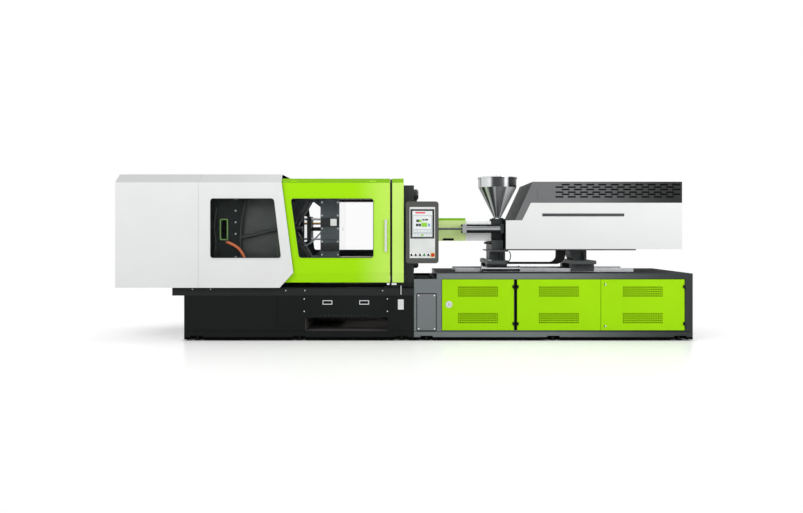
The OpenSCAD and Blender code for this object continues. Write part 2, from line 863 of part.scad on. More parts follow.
// White clamp covers: folded sheet with a lower flange, a sloping shoulder and a roof flange
foot_flange = 92;
roof_flange = 60;
nose_lean = 140;
nose_under = 165;
cover_top_x = nose_x - nose_lean;
cover_roof_x = nose_x - nose_lean * (roof_z - nose_z) / (fold_z - nose_z);
roof_edge_y = cover_y - roof_in - roof_flange;
rim_w = 14;
rim_t = 5;
pane_t = 5;
pane_lap = 18;
cover_window_x0 = seam_x + 146;
cover_window_x1 = nose_x - 149;
cover_window_lean = 85;

module cover_section() {
    polygon([
        [-cover_y + foot_flange, cover_bottom_z],
        [-cover_y, cover_bottom_z],
        [-cover_y, fold_z],
        [-cover_y + roof_in, roof_z],
        [-roof_edge_y, roof_z],
        [-roof_edge_y, roof_z - sheet],
        [-cover_y + roof_in + sheet * 0.33, roof_z - sheet],
        [-cover_y + sheet, fold_z - sheet * 0.5],
        [-cover_y + sheet, cover_bottom_z + sheet],
        [-cover_y + foot_flange, cover_bottom_z + sheet]
    ]);
}

// Window outline with rounded corners; grow makes it larger on every side
module window(x0, x1, z0, z1, lean_left, lean_right, grow) {
    offset(r = window_r + grow, $fn = 24)
        offset(delta = -window_r)
            polygon([[x0, z0], [x1, z0], [x1 - lean_right, z1], [x0 - lean_left, z1]]);
}

module cover_window(grow) {
    window(cover_window_x0, cover_window_x1, window_z0, window_z1, 0, cover_window_lean, grow);
}

module clamp_end_panels() {
    color(white_paint) {
        both_sides()
            along_x(x_left, seam_x - 2) cover_section();
        clamp_roof();
    }
}

module cover_wall() {
    intersection() {
        along_x(seam_x, nose_x) cover_section();
        slab(-cover_y - 1, 0)
            polygon([
                [seam_x, cover_bottom_z - 1],
                [nose_x - nose_under, cover_bottom_z - 1],
                [nose_x, nose_z],
                [cover_roof_x, roof_z + 1],
                [seam_x, roof_z + 1]
            ]);
    }
}

// Only the panel on the operator side has a window
module clamp_window_panels() {
    color(white_paint) {
        difference() {
            cover_wall();
            slab(-cover_y - 1, -cover_y + sheet + 1) cover_window(0);
        }
        slab(-cover_y - rim_t, -cover_y)
            difference() {
                cover_window(rim_w);
                cover_window(0);
            }
        mirror([0, 1, 0]) cover_wall();
    }
}

// Roof sheet and end wall
module clamp_roof() {
    block(x_left, cover_roof_x, -roof_edge_y, roof_edge_y, roof_z - sheet, roof_z);
    along_x(x_left, x_left + sheet)
        polygon([
            [-cover_y + sheet, cover_bottom_z + sheet],
            [cover_y - sheet, cover_bottom_z + sheet],
            [cover_y - sheet, fold_z - sheet * 0.5],
            [cover_y - roof_in - sheet * 0.33, roof_z - sheet],
            [-cover_y + roof_in + sheet * 0.33, roof_z - sheet],
            [-cover_y + sheet, fold_z - sheet * 0.5]
        ]);
}

module cover_panes() {
    color([0.80, 0.85, 0.88, 0.35])
        slab(-cover_y + sheet, -cover_y + sheet + pane_t) cover_window(pane_lap);
}

// Sliding safety doors: folded sheet with a window, hangers on the top rail and edge returns
door_fold_z = fold_z - 4;
door_top_in = 70;
door_top_z = fold_z + 52;
door_low_in = 30;
door_x0 = door_x1 - door_w;
return_d = 56;
door_window_x0 = door_x1 - 1083;
door_window_x1 = door_x1 - 200;
door_window_lean = 98;
rail_top_z = fold_z + 9;
rail_box = 40;
top_rail_y = door_y - door_top_in - 8;
hanger_w = 80;
handle_x = door_x1 - 50;
handle_w = 25;
handle_z0 = 1067;
handle_z1 = 1451;
handle_out = 34;
rear_handle_out = cover_y + 18 - door_y;

module door_section() {
    polygon([
        [-door_y + door_low_in, door_bottom_z],
        [-door_y, nose_z],
        [-door_y, door_fold_z],
        [-door_y + door_top_in, door_top_z],
        [-door_y + door_top_in, door_top_z - sheet * 1.3],
        [-door_y + sheet, door_fold_z - sheet * 0.4],
        [-door_y + sheet, nose_z],
        [-door_y + door_low_in + sheet, door_bottom_z]
    ]);
}

module door_sheet(z0, z1) {
    difference() {
        along_x(door_x0, door_x1) door_section();
        slab(-door_y - 1, -door_y + sheet + 1)
            window(door_window_x0, door_window_x1, z0, z1, door_window_lean, 0, 0);
    }
    slab(-door_y - rim_t, -door_y)
        difference() {
            window(door_window_x0, door_window_x1, z0, z1, door_window_lean, 0, rim_w);
            window(door_window_x0, door_window_x1, z0, z1, door_window_lean, 0, 0);
        }
    for (x = [door_x0, door_x1 - sheet])
        block(x, x + sheet, -door_y + sheet, -door_y + return_d, nose_z, door_fold_z - 20);
    for (x = [door_x0 + 150, door_x1 - 250])
        block(x, x + hanger_w, -door_y + 18, -top_rail_y + rail_box - 6, rail_top_z + running_fit,
            rail_top_z + 13);
}

module door_pane(z0, z1) {
    color([0.80, 0.85, 0.88, 0.35])
        slab(-door_y + sheet, -door_y + sheet + pane_t)
            window(door_window_x0, door_window_x1, z0, z1, door_window_lean, 0, pane_lap);
}

module pull_bar(out) {
    block(handle_x - handle_w / 2, handle_x + handle_w / 2, -door_y - out,
        -door_y - out + 16, handle_z0, handle_z1);
    for (z = [handle_z0 + 30, handle_z1 - 30])
        bar_y(handle_x, -door_y - out + 16, -door_y, z, 9);
}

module front_door() {
    color(green_paint) door_sheet(window_z0, window_z1);
    color(polished) pull_bar(handle_out);
}

module front_door_pane() {
    door_pane(window_z0, window_z1);
}

module rear_door() {
    mirror([0, 1, 0]) {
        color(green_paint) door_sheet(rear_sill_z, rear_head_z);
        color(polished) pull_bar(rear_handle_out);
    }
}

module rear_door_pane() {
    mirror([0, 1, 0]) door_pane(rear_sill_z, rear_head_z);
}

// Fixed green posts beside the doors, standing on the clamp base
post_x0 = door_x1 + jamb_w;
post_x1 = post_x0 + post_w;

module door_posts() {
    color(green_paint)
        both_sides() {
            along_x(post_x0, post_x1) door_section();
            for (x = [post_x0 + 1, post_x1 - sheet - 1])
                block(x, x + sheet, -door_y + 1, -door_y + return_d, nose_z + 4, door_fold_z - 20);
            block(post_x0 + 12, post_x1 - 12, -beam_y + 5, -beam_y + 30, clamp_deck_z, nose_z + 40);
            block(post_x0 + 12, post_x1 - 12, -door_y + 1, -beam_y + 10, nose_z + 8, nose_z + 40);
        }
}

// Door rails and jambs, and the inner guard behind the clamp cover's window
rail_end_x = door_x0 - 1130;
guard_plate_y = cover_y - 130;
guard_plate_t = 6;
guard_plate_x0 = cover_window_x0 - 76;
guard_plate_x1 = tail_front + 76;
guard_curve_r = 2200;
guard_curve_x = tail_front - 19 + guard_curve_r;
guard_port_x = cover_window_x0 + 128;
guard_port_w = 72;
guard_port_z = 1333;
guard_port_h = 230;

module inner_guard() {
    difference() {
        slab(-guard_plate_y, -guard_plate_y + guard_plate_t)
            polygon([
                [guard_plate_x0, clamp_deck_z], [guard_plate_x1, clamp_deck_z],
                [guard_plate_x1, fold_z - 30], [guard_plate_x0, fold_z - 30]
            ]);
        bar_y(guard_curve_x, -guard_plate_y - 1, -guard_plate_y + guard_plate_t + 1, axis_z - 190,
            guard_curve_r);
        block(guard_port_x - guard_port_w / 2, guard_port_x + guard_port_w / 2, -guard_plate_y - 1,
            -guard_plate_y + guard_plate_t + 1, guard_port_z - guard_port_h / 2,
            guard_port_z + guard_port_h / 2);
    }
    block(guard_plate_x0, guard_plate_x0 + 300, -guard_plate_y + 1, -guard_plate_y + 50, clamp_deck_z,
        clamp_deck_z + guard_plate_t);
}

module door_rails() {
    color(black_paint)
        inner_guard();
    color(black_paint)
        both_sides() {
            block(rail_end_x, post_x1 - sheet - 1, -top_rail_y, -top_rail_y + rail_box,
                rail_top_z - rail_box, rail_top_z);
            block(rail_end_x, rail_end_x + 36, -cover_y + sheet, -top_rail_y, rail_top_z - 34,
                rail_top_z - 18);
            block(beam_x0, post_x0, -beam_y, -beam_y + rail_box, clamp_deck_z, cover_bottom_z);
            block(door_x1 + 2, post_x0, -door_y + sheet, -door_y + sheet + 20, nose_z, door_fold_z - 6);
        }
}

// Operator panel on a swivel bracket fixed to the side of the fixed platen
hmi_y = cover_y;
hinge_axis_x = 130;
hinge_axis_y = -hmi_y + hmi_d + 23;
arm_t = 24;
arm_low_z = 1130;
arm_high_z = 1446;
swivel_pin_r = 15;
sleeve_r = 26;
hmi_corner = 36;
face_in_x = 45;
face_z0 = hmi_z + 63;
face_z1 = hmi_z + hmi_h - 67;
face_t = 6;
face_x0 = hmi_x + face_in_x;
face_x1 = hmi_x + hmi_w - face_in_x + 2;
screen_in = 9;
screen_z0 = face_z0 + 232;
screen_z1 = face_z1 - 26;
button_z = face_z0 + 37;
button_x0 = face_x0 + 22;
button_pitch = 50.5;
button_out = 12;
button_pocket = 16;
stop_x = button_x0 + 5 * button_pitch;
stop_r = 20;
stop_stem_r = 11;

module operator_bracket() {
    color(black_paint) {
        for (z = [arm_low_z, arm_high_z]) {
            translate([0, 0, z])
                linear_extrude(arm_t)
                    polygon([
                        [40, -platen_half],
                        [fixed_back, -platen_half],
                        [hinge_axis_x + 16, hinge_axis_y],
                        [hinge_axis_x - 16, hinge_axis_y]
                    ]);
            bar_z(hinge_axis_x, hinge_axis_y, z, z + arm_t, 21);
        }
    }
    color(steel)
        bar_z(hinge_axis_x, hinge_axis_y, arm_low_z, arm_high_z + arm_t, swivel_pin_r);
}

module operator_housing() {
    color([0.27, 0.25, 0.23])
        difference() {
            union() {
                slab(-hmi_y, -hmi_y + hmi_d)
                    hull()
                        for (x = [hmi_x + hmi_corner, hmi_x + hmi_w - hmi_corner],
                            z = [hmi_z + hmi_corner, hmi_z + hmi_h - hmi_corner])
                            translate([x, z]) circle(r = hmi_corner, $fn = 32);
                bar_z(hinge_axis_x, hinge_axis_y, arm_low_z + arm_t + 1, arm_high_z - 1, sleeve_r);
            }
            block(face_x0, face_x1, -hmi_y - 1, -hmi_y + face_t, face_z0, face_z1);
            block(face_x0 + 4, face_x1 - 4, -hmi_y, -hmi_y + face_t + button_pocket, button_z - 24,
                button_z + 24);
            bar_z(hinge_axis_x, hinge_axis_y, arm_low_z, arm_high_z + arm_t,
                swivel_pin_r + running_fit);
        }
}

module operator_face() {
    color(white_paint)
        difference() {
            block(face_x0, face_x1, -hmi_y, -hmi_y + face_t, face_z0, face_z1);
            for (i = [0 : 4])
                bar_y(button_x0 + i * button_pitch, -hmi_y - 1, -hmi_y + face_t + 1, button_z,
                    button_r + 0.5);
            bar_y(stop_x, -hmi_y - 1, -hmi_y + face_t + 1, button_z, stop_stem_r + 0.5);
        }
}

module operator_screen() {
    color([0.06, 0.06, 0.07])
        block(face_x0 + screen_in, face_x1 - screen_in, -hmi_y - 3, -hmi_y, screen_z0, screen_z1);
}

module push_button(i, paint) {
    color(paint)
        bar_y(button_x0 + i * button_pitch, -hmi_y - button_out, -hmi_y + face_t + 3, button_z,
            button_r);
}

module button_1() {
    push_button(0, [0.15, 0.55, 0.20]);
}

module button_2() {
    push_button(1, [0.12, 0.12, 0.13]);
}

module button_3() {
    push_button(2, [0.12, 0.12, 0.13]);
}

module button_4() {
    push_button(3, [0.12, 0.12, 0.13]);
}

module button_5() {
    push_button(4, [0.12, 0.12, 0.13]);
}

module emergency_stop() {
    color([0.75, 0.06, 0.05]) {
        bar_y(stop_x, -hmi_y - 18, -hmi_y - 2 * button_travel, button_z, stop_r);
        bar_y(stop_x, -hmi_y - 2 * button_travel, -hmi_y + face_t + 3, button_z, stop_stem_r);
    }
}

// Injection unit on linear rails
rail_top = deck_z + rail_h;
rail_w = 60;
rail_x0 = 633;
rail_x1 = 2870;
bearing_w = 124;
bearing_top = rail_top + 55;
front_support_x0 = 1076;
front_support_x1 = 1278;
rear_support_x0 = 2087;
rear_support_x1 = 2314;
plate_t = 16;
plate_z0 = icover_z0 - plate_t;
plate_x0 = icover_x0 - 10;
plate_x1 = 2854;
support_y = 440;
column_y = 170;
column_taper = 58;
collar = 16;
bearing_reach = 54;
foot_plate_h = 44;
recess_w = 70;
recess_d = 34;

module injection_rails() {
    color(steel)
        both_sides()
            block(rail_x0, rail_x1, rail_y - rail_w / 2, rail_y + rail_w / 2, deck_z, rail_top);
}

// Support of the carriage: bearing blocks on the rails, a foot plate, and a column with recessed faces
module support(x0, x1, left, right, taper) {
    mid = (x0 + x1) / 2;
    column_z = bearing_top + foot_plate_h;
    both_sides()
        block(x0 - left, x1 + right, rail_y - bearing_w / 2, rail_y + bearing_w / 2, deck_z + 8,
            bearing_top);
    block(x0 - left, x1 + right, -support_y, support_y, bearing_top, column_z);
    difference() {
        slab(-column_y, column_y)
            polygon([[x0 + taper, column_z], [x1, column_z], [x1, plate_z0], [x0, plate_z0]]);
        both_sides()
            block(mid + (taper - recess_w) / 2, mid + (taper + recess_w) / 2, column_y - recess_d,
                column_y + 1, column_z + 10, plate_z0 - plate_t);
    }
    both_sides()
        block(x1 - 36, x1 - 10, column_y, column_y + 26, column_z, plate_z0 - 40);
}

module injection_carriage() {
    color(cast_paint)
        difference() {
            union() {
                support(front_support_x0, front_support_x1, bearing_reach, 0, 0);
                support(rear_support_x0, rear_support_x1, 0, bearing_reach, column_taper);
                block(feed_x0, plate_x0, -310, 310, plate_z0, feed_z0);
                block(front_support_x0 - collar, front_support_x1, -support_y - collar, support_y + collar,
                    plate_z0 - plate_t, plate_z0);
                block(plate_x0, plate_x1, -450, 450, plate_z0, icover_z0);
            }
            both_sides()
                block(rail_x0, rail_x1, rail_y - rail_w / 2 - slide_gap,
                    rail_y + rail_w / 2 + slide_gap,
                    deck_z - 1, rail_top + slide_gap);
        }
}

// Feed block with its throat, side arms and hopper flange
feed_z0 = 1200;
feed_z1 = 1440;
feed_x0 = 1090;
feed_x1 = 1300;
feed_w = 340;
throat_r = 38;
flange_r = 100;
flange_z = 1475;
arm_x0 = 1190;
arm_x1 = 1230;
cylinder_r = 38;
head_w = 110;

module feed_block() {
    color(cast_paint)
        difference() {
            union() {
                block(feed_x0, plate_x0, -feed_w / 2, feed_w / 2, feed_z0, feed_z1);
                block(plate_x0, feed_x1, -feed_w / 2, feed_w / 2, feed_z0, feed_z1);
                block(arm_x0, arm_x1, -cylinder_y - head_w / 2, cylinder_y + head_w / 2,
                    axis_z - head_w / 2, axis_z + head_w / 2);
                bar_z(hopper_x, 0, feed_z1, flange_z, flange_r);
            }
            bar_x(feed_x0 - 1, feed_x1 + 1, 0, axis_z, screw_r + 0.5);
            bar_z(hopper_x, 0, axis_z, flange_z + 1, throat_r);
        }
}

// Barrel with its nozzle and heater bands
nozzle_r = 40;
nozzle_l = 250;
barrel_x0 = nozzle_x + nozzle_l;
band_r = barrel_r + 11;
band_w = 120;
band_count = 5;
band_pitch = (feed_x0 - barrel_x0 - 80) / band_count;

module barrel() {
    color(steel)
        difference() {
            union() {
                translate([nozzle_x, 0, axis_z]) rotate([0, 90, 0]) cylinder(h = 24, r1 = 18,
                    r2 = nozzle_r);
                bar_x(nozzle_x + 24, barrel_x0, 0, axis_z, nozzle_r);
                bar_x(barrel_x0, feed_x0, 0, axis_z, barrel_r);
                for (i = [0 : band_count - 1])
                    bar_x(barrel_x0 + 40 + i * band_pitch, barrel_x0 + 40 + i * band_pitch + band_w,
                        0, axis_z, band_r);
            }
            bar_x(nozzle_x - 1, feed_x0 + 1, 0, axis_z, 6);
            bar_x(barrel_x0 + 20, feed_x0 + 1, 0, axis_z, screw_r + 0.5);
        }
}

// Guards over the barrel: the fixed steel one, and the green purge guard that slides over it
guard_x0 = 700;
guard_z0 = 1193;
guard_z1 = 1443;
guard_y = 244;
purge_x0 = 130;
purge_x1 = 766;
purge_y = guard_y + slide_gap + sheet;
purge_z1 = 1481;

module hood(x0, x1, y, z0, z1) {
    along_x(x0, x1)
        polygon([
            [-y, z0], [-y, z1 - 30], [-y + 30, z1], [y - 30, z1], [y, z1 - 30], [y, z0],
            [y - sheet, z0], [y - sheet, z1 - 30 - sheet * 0.4], [y - 30 - sheet * 0.4, z1 - sheet],
            [-y + 30 + sheet * 0.4, z1 - sheet], [-y + sheet, z1 - 30 - sheet * 0.4], [-y + sheet, z0]
        ]);
}

module barrel_guard() {
    color(steel) {
        hood(guard_x0, feed_x0, guard_y, guard_z0, guard_z1);
        difference() {
            block(feed_x0 - sheet, feed_x0, -guard_y + 30, guard_y - 30, guard_z0, guard_z1 - sheet);
            bar_x(feed_x0 - sheet - 1, feed_x0 + 1, 0, axis_z, band_r + 4);
        }
        both_sides()
            block(guard_x0, purge_x1 - 10, 180, 206, guard_z1, purge_z1 - sheet - running_fit);
    }
}

module purge_guard() {
    color(green_paint)
        hood(purge_x0, purge_x1, purge_y, guard_z0, purge_z1);
    color(black_paint)
        block(482, 616, -purge_y - 14, -purge_y, guard_z0 + 6, guard_z0 + 32);
}

// Traverse cylinders on the carriage and their rods on the fixed platen
cylinder_x0 = 766;
front_head_x0 = 716;
tie_rod_r = 11;

module traverse_cylinders() {
    color(polished)
        both_sides()
            difference() {
                union() {
                    bar_x(cylinder_x0, arm_x0, cylinder_y, axis_z, cylinder_r);
                    block(front_head_x0, cylinder_x0, cylinder_y - head_w / 2,
                        cylinder_y + head_w / 2, axis_z - head_w / 2, axis_z + head_w / 2);
                    for (sy = [-1, 1], sz = [-1, 1])
                        bar_x(cylinder_x0, arm_x0, cylinder_y + sy * 40, axis_z + sz * 42, tie_rod_r);
                }
                bar_x(front_head_x0 - 1, arm_x0 - 30, cylinder_y, axis_z, rod_r + 1);
            }
}

module carriage_rods() {
    color(polished)
        both_sides() {
            bar_x(fixed_back, arm_x0 - 60, cylinder_y, axis_z, rod_r);
            bar_x(fixed_back, fixed_back + 25, cylinder_y, axis_z, rod_r + 18);
        }
}

// White injection cover and its grey vented cap
slant_x0 = icover_x0 + 111;
slant_x1 = icover_x0 + 200;
slant_x2 = icover_x0 + 307;
slant_x3 = icover_x0 + 330;
icover_y = icover_w / 2;
slot_h = 19;
slot_rows_z = [-37, -67, -96, -129, -155, -187];
slot_first_x = icover_x0 + 659;
slots_in_row = 10;
strip_x = icover_x0 + 448;
strip_l = 1005;
strip_h = 35;
strip_z = icover_z1 - 166;
hatch_x = icover_x0 + 390;
hatch_w = 140;
hatch_h = 135;
hatch_z = icover_z1 + 35;
bare_plate_t = 4;

module injection_cover() {
    color(white_paint) {
        difference() {
            slab(-icover_y, icover_y)
                polygon([
                    [icover_x0, icover_z0], [icover_x1, icover_z0], [icover_x1, icover_z1],
                    [slant_x2, icover_z1], [slant_x1, ledge_z], [icover_x0, ledge_z]
                ]);
            slab(-icover_y + sheet, icover_y - sheet)
                polygon([
                    [icover_x0 + sheet, icover_z0 - 1], [icover_x1 - sheet, icover_z0 - 1],
                    [icover_x1 - sheet, icover_z1 + 1], [slant_x2 - 40, icover_z1 + 1],
                    [slant_x1 - 30, ledge_z - sheet], [icover_x0 + sheet, ledge_z - sheet]
                ]);
            block(icover_x0 - 1, feed_x1 + 6, -feed_w / 2 - 6, feed_w / 2 + 6, icover_z0 - 1,
                ledge_z - 3);
            bar_z(hopper_x, 0, icover_z0, ledge_z + 1, flange_r + 5);
        }
        block(strip_x, strip_x + strip_l, -icover_y - bare_plate_t, -icover_y, strip_z, strip_z + strip_h);
    }
}

module injection_cap() {
    color([0.62, 0.64, 0.66]) {
        difference() {
            slab(-icover_y, icover_y)
                polygon([
                    [slant_x0, ledge_z], [slant_x1, ledge_z], [slant_x2, icover_z1],
                    [icover_x1, icover_z1], [icover_x1, icover_z2], [slant_x3, icover_z2]
                ]);
            slab(-icover_y + sheet, icover_y - sheet)
                polygon([
                    [slant_x0 + sheet * 1.1, ledge_z - 1], [slant_x1 + 1, ledge_z - 1],
                        [slant_x2 + 1, icover_z1 - 1],
                    [icover_x1 - sheet, icover_z1 - 1], [icover_x1 - sheet, icover_z2 - sheet],
                    [slant_x3 + sheet * 0.7, icover_z2 - sheet]
                ]);
            for (j = [0 : 5], i = [0 : slots_in_row - 1])
                translate([slot_first_x + (i + (j + 1) % 2 / 2) * cap_slot_pitch - cap_slot_l / 2,
                    -icover_y - 1, icover_z2 + slot_rows_z[j] - slot_h / 2])
                    cube([cap_slot_l, icover_w + 2, slot_h]);
        }
        block(hatch_x, hatch_x + hatch_w, -icover_y - bare_plate_t, -icover_y, hatch_z, hatch_z + hatch_h);
    }
}

// Hopper over the feed throat, with a hinged lid
hopper_z = flange_z + hopper_h;
hopper_band_h = 125;
hopper_cyl_z = hopper_z - hopper_band_h;
neck_r = 45;
neck_z = flange_z + 15;
rim_r = hopper_r + 10;
lid_t = 10;
lid_hinge_y = hopper_r + 20;
lid_hinge_z = hopper_z + 2;

// Cone of the hopper
module hopper() {
    w = hopper_wall;
    color(polished)
        translate([hopper_x, 0, 0])
            rotate_extrude($fn = 96)
                polygon([
                    [neck_r - w, neck_z], [neck_r, neck_z], [hopper_r, hopper_cyl_z],
                    [hopper_r - w, hopper_cyl_z]
                ]);
}

// Upper band with its rim and the lid's hinge
module hopper_band() {
    w = hopper_wall;
    color(polished)
        translate([hopper_x, 0, 0]) {
            rotate_extrude($fn = 96)
                polygon([
                    [hopper_r - w, hopper_cyl_z], [hopper_r, hopper_cyl_z], [hopper_r, hopper_z - 12],
                    [rim_r, hopper_z - 12], [rim_r, hopper_z], [hopper_r - w, hopper_z]
                ]);
            block(-50, 50, rim_r - 4, lid_hinge_y, hopper_z - 12, hopper_z - 8);
            for (s = [-1, 1])
                block(s * 40 - 8, s * 40 + 8, lid_hinge_y - 8, lid_hinge_y + 8, hopper_z - 12,
                    lid_hinge_z);
            bar_x(-48, 48, lid_hinge_y, lid_hinge_z, 4);
        }
}

// Neck with the flange that stands on the feed block
module hopper_neck() {
    w = hopper_wall;
    color(polished)
        translate([hopper_x, 0, 0])
            rotate_extrude($fn = 96)
                polygon([
                    [neck_r - w, flange_z], [flange_r - 20, flange_z], [flange_r - 20, flange_z + 8],
                    [neck_r, flange_z + 8], [neck_r, neck_z], [neck_r - w, neck_z]
                ]);
}

module hopper_lid() {
    color(polished)
        translate([hopper_x, 0, 0]) {
            bar_z(0, 0, hopper_z, hopper_z + lid_t, rim_r - 2);
            bar_z(0, 0, hopper_z + lid_t, hopper_z + 22, 14);
            bar_z(0, 0, hopper_z + 22, hopper_z + 38, 22);
            difference() {
                union() {
                    block(-24, 24, rim_r - 40, lid_hinge_y, hopper_z + lid_t - 4, hopper_z + lid_t);
                    bar_x(-24, 24, lid_hinge_y, lid_hinge_z, 8);
                }
                bar_x(-25, 25, lid_hinge_y, lid_hinge_z, 4 + running_fit);
            }
        }
}

// Injection drive inside the cover: two plates, guide bars, two motors, and the moving thrust plate
drive_front_x = 1340;
drive_rear_x = 2600;
drive_plate_t = 70;
drive_bar_y = 260;
drive_bar_r = 35;
drive_motor_r = 100;
drive_motor_l = 410;
drive_half = 360;
thrust_half = 340;
drive_top_z = 1500;
thrust_x = 2250;
thrust_t = 80;
screw_tip_x = barrel_x0 + 280;

module injection_drive() {
    color(cast_paint)
        difference() {
            union() {
                block(drive_front_x, drive_front_x + drive_plate_t, -drive_half, drive_half, icover_z0,
                    ledge_z - 12);
                block(drive_rear_x, drive_rear_x + drive_plate_t, -drive_half, drive_half, icover_z0,
                    drive_top_z);
            }
            bar_x(drive_front_x - 1, drive_front_x + drive_plate_t + 1, 0, axis_z, screw_r + 5);
        }
    color(polished)
        both_sides()
            bar_x(drive_front_x + drive_plate_t, drive_rear_x, drive_bar_y, axis_z, drive_bar_r);
    color(black_paint)
        both_sides()
            bar_x(drive_rear_x + drive_plate_t, drive_rear_x + drive_plate_t + drive_motor_l, drive_bar_y,
                axis_z, drive_motor_r);
}

module thrust_plate() {
    color(cast_paint)
        difference() {
            block(thrust_x, thrust_x + thrust_t, -thrust_half, thrust_half, icover_z0 + 20, drive_top_z);
            both_sides()
                bar_x(thrust_x - 1, thrust_x + thrust_t + 1, drive_bar_y, axis_z,
                    drive_bar_r + tie_clear);
            bar_x(thrust_x - 1, thrust_x + 50, 0, axis_z, screw_r + running_fit);
        }
}

module plasticising_screw() {
    color(steel) {
        bar_x(screw_tip_x + 40, thrust_x + 50, 0, axis_z, screw_r - 8);
        translate([screw_tip_x, 0, axis_z]) rotate([0, 90, 0]) cylinder(h = 40, r1 = 4,
            r2 = screw_r - 8);
        for (i = [0 : 14])
            bar_x(screw_tip_x + 60 + i * 64, screw_tip_x + 76 + i * 64, 0, axis_z, screw_r);
        bar_x(thrust_x - 60, thrust_x + 50, 0, axis_z, screw_r);
    }
}

// Black conduit: a flat tray from the front support that bends up into a wide duct under the carriage plate
conduit_y0 = -434;
conduit_y1 = -350;
conduit_x0 = 1880;
conduit_w = 108;
conduit_x1 = conduit_x0 + conduit_w;
tray_z = bearing_top + 2;
tray_h = 26;
bend_in = 80;
bend_out = 122;

module cable_conduit() {
    in_x = conduit_x0 - bend_in;
    in_z = tray_z + tray_h + bend_in;
    out_x = conduit_x1 - bend_out;
    out_z = tray_z + bend_out;
    color(black_paint)
        difference() {
            union() {
                block(front_support_x1, conduit_x1, conduit_y0, conduit_y1, tray_z, tray_z + tray_h);
                block(in_x, conduit_x1, conduit_y0, conduit_y1, tray_z, in_z);
                block(conduit_x0, conduit_x1, conduit_y0, conduit_y1, tray_z, plate_z0);
            }
            bar_y(in_x, conduit_y0 - 1, conduit_y1 + 1, in_z, bend_in);
            difference() {
                block(out_x, conduit_x1 + 1, conduit_y0 - 1, conduit_y1 + 1, tray_z - 1, out_z);
                bar_y(out_x, conduit_y0 - 2, conduit_y1 + 2, out_z, bend_out);
            }
        }
}

clamp_base();
injection_base();
base_panels();
discharge_panel();
leveling_feet();
fixed_platen();
tail_platen();
tie_bars();
clamp_end_panels();
clamp_window_panels();
cover_panes();
door_posts();
door_rails();
clamp_drive();
injection_rails();
carriage_rods();
operator_bracket();
clamp_screw();
crosshead();
rear_links_upper();
rear_links_lower();
front_links_upper();
front_links_lower();
crosshead_links_upper();
crosshead_links_lower();
moving_platen();
ejector_guides();
ejector_plate();
front_door();
front_door_pane();
rear_door();
rear_door_pane();
base_door_left();
base_door_middle();
base_door_right();
injection_carriage();
feed_block();
barrel();
barrel_guard();
injection_cover();
injection_cap();
hopper();
hopper_band();
hopper_neck();
hopper_lid();
traverse_cylinders();
injection_drive();
cable_conduit();
purge_guard();
thrust_plate();
plasticising_screw();
operator_housing();
operator_face();
operator_screen();
button_1();
button_2();
button_3();
button_4();
button_5();
emergency_stop();
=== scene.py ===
# %% [markdown]
# # Injection moulding machine
# The machine comes in as a fixed frame of CAD solids in metres, one object for each sub-part.
# This lesson gives every solid a finish and adds the small pieces that a close look expects: seals, screws,
# fittings, cables, screen tiles and trim. Some finishes, dark strips and sheets are painted shade, highlights
# and reflections. A solid whose shape is right is kept as it is.

import json
import math

import bmesh
import bpy
import numpy as np
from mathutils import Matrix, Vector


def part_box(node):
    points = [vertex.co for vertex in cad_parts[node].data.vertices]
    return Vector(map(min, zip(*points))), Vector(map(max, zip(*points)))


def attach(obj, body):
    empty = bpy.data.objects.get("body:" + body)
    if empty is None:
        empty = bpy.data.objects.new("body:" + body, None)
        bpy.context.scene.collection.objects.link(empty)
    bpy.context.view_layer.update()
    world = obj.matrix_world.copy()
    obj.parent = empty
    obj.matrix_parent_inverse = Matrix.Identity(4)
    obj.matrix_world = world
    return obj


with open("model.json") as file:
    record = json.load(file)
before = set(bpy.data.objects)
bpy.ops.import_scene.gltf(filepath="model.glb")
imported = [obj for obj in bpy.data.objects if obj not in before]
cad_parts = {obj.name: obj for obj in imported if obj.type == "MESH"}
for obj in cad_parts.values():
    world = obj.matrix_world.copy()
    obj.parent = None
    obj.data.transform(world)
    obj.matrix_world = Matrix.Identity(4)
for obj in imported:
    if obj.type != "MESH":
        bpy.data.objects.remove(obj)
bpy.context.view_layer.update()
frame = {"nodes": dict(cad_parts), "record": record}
nodes = frame["nodes"]

# %% [markdown]
# ## Camera
# The machine is seen square-on from its operator side, from nine and a half metres away at chest height.
# A camera that tilts down would make the upright edges lean. This one stays level and shifts its lens
# instead, as a view camera does for buildings.

# %% Camera
CAMERA_PLACE = (-0.043, -9.52, 1.254)
CAMERA_LENS = 32.9
SENSOR_WIDTH = 36.0
LENS_SHIFT = -0.0255

camera_data = bpy.data.cameras.new("camera")
camera_data.lens = CAMERA_LENS
camera_data.sensor_width = SENSOR_WIDTH
camera_data.sensor_fit = "HORIZONTAL"
camera_data.shift_y = LENS_SHIFT
camera = bpy.data.objects.new("camera", camera_data)
camera.location = CAMERA_PLACE
camera.rotation_euler = (math.radians(90), 0, 0)
bpy.context.collection.objects.link(camera)
bpy.context.scene.camera = camera
bpy.context.scene.view_settings.view_transform = "Standard"
print("camera at", CAMERA_PLACE, "lens", CAMERA_LENS, "mm")

# %% [markdown]
# ## Lamps
# Three big soft lamps light the machine evenly, as in a catalogue picture. One strong lamp would be simpler,
# but its hard shadows would cut the long flat panels into pieces.

# %% Lamps
LAMPS = {
    # name: place, point that it faces, width in metres, power in watts
    "key": ((-4.5, -7.5, 6.5), (-0.5, 0, 1.0), 5.0, 275),
    "fill": ((6.0, -7.0, 4.0), (0.8, 0, 1.0), 5.0, 235),
    "top": ((0, 1.5, 7.5), (0, 0, 1.0), 6.0, 150),
}


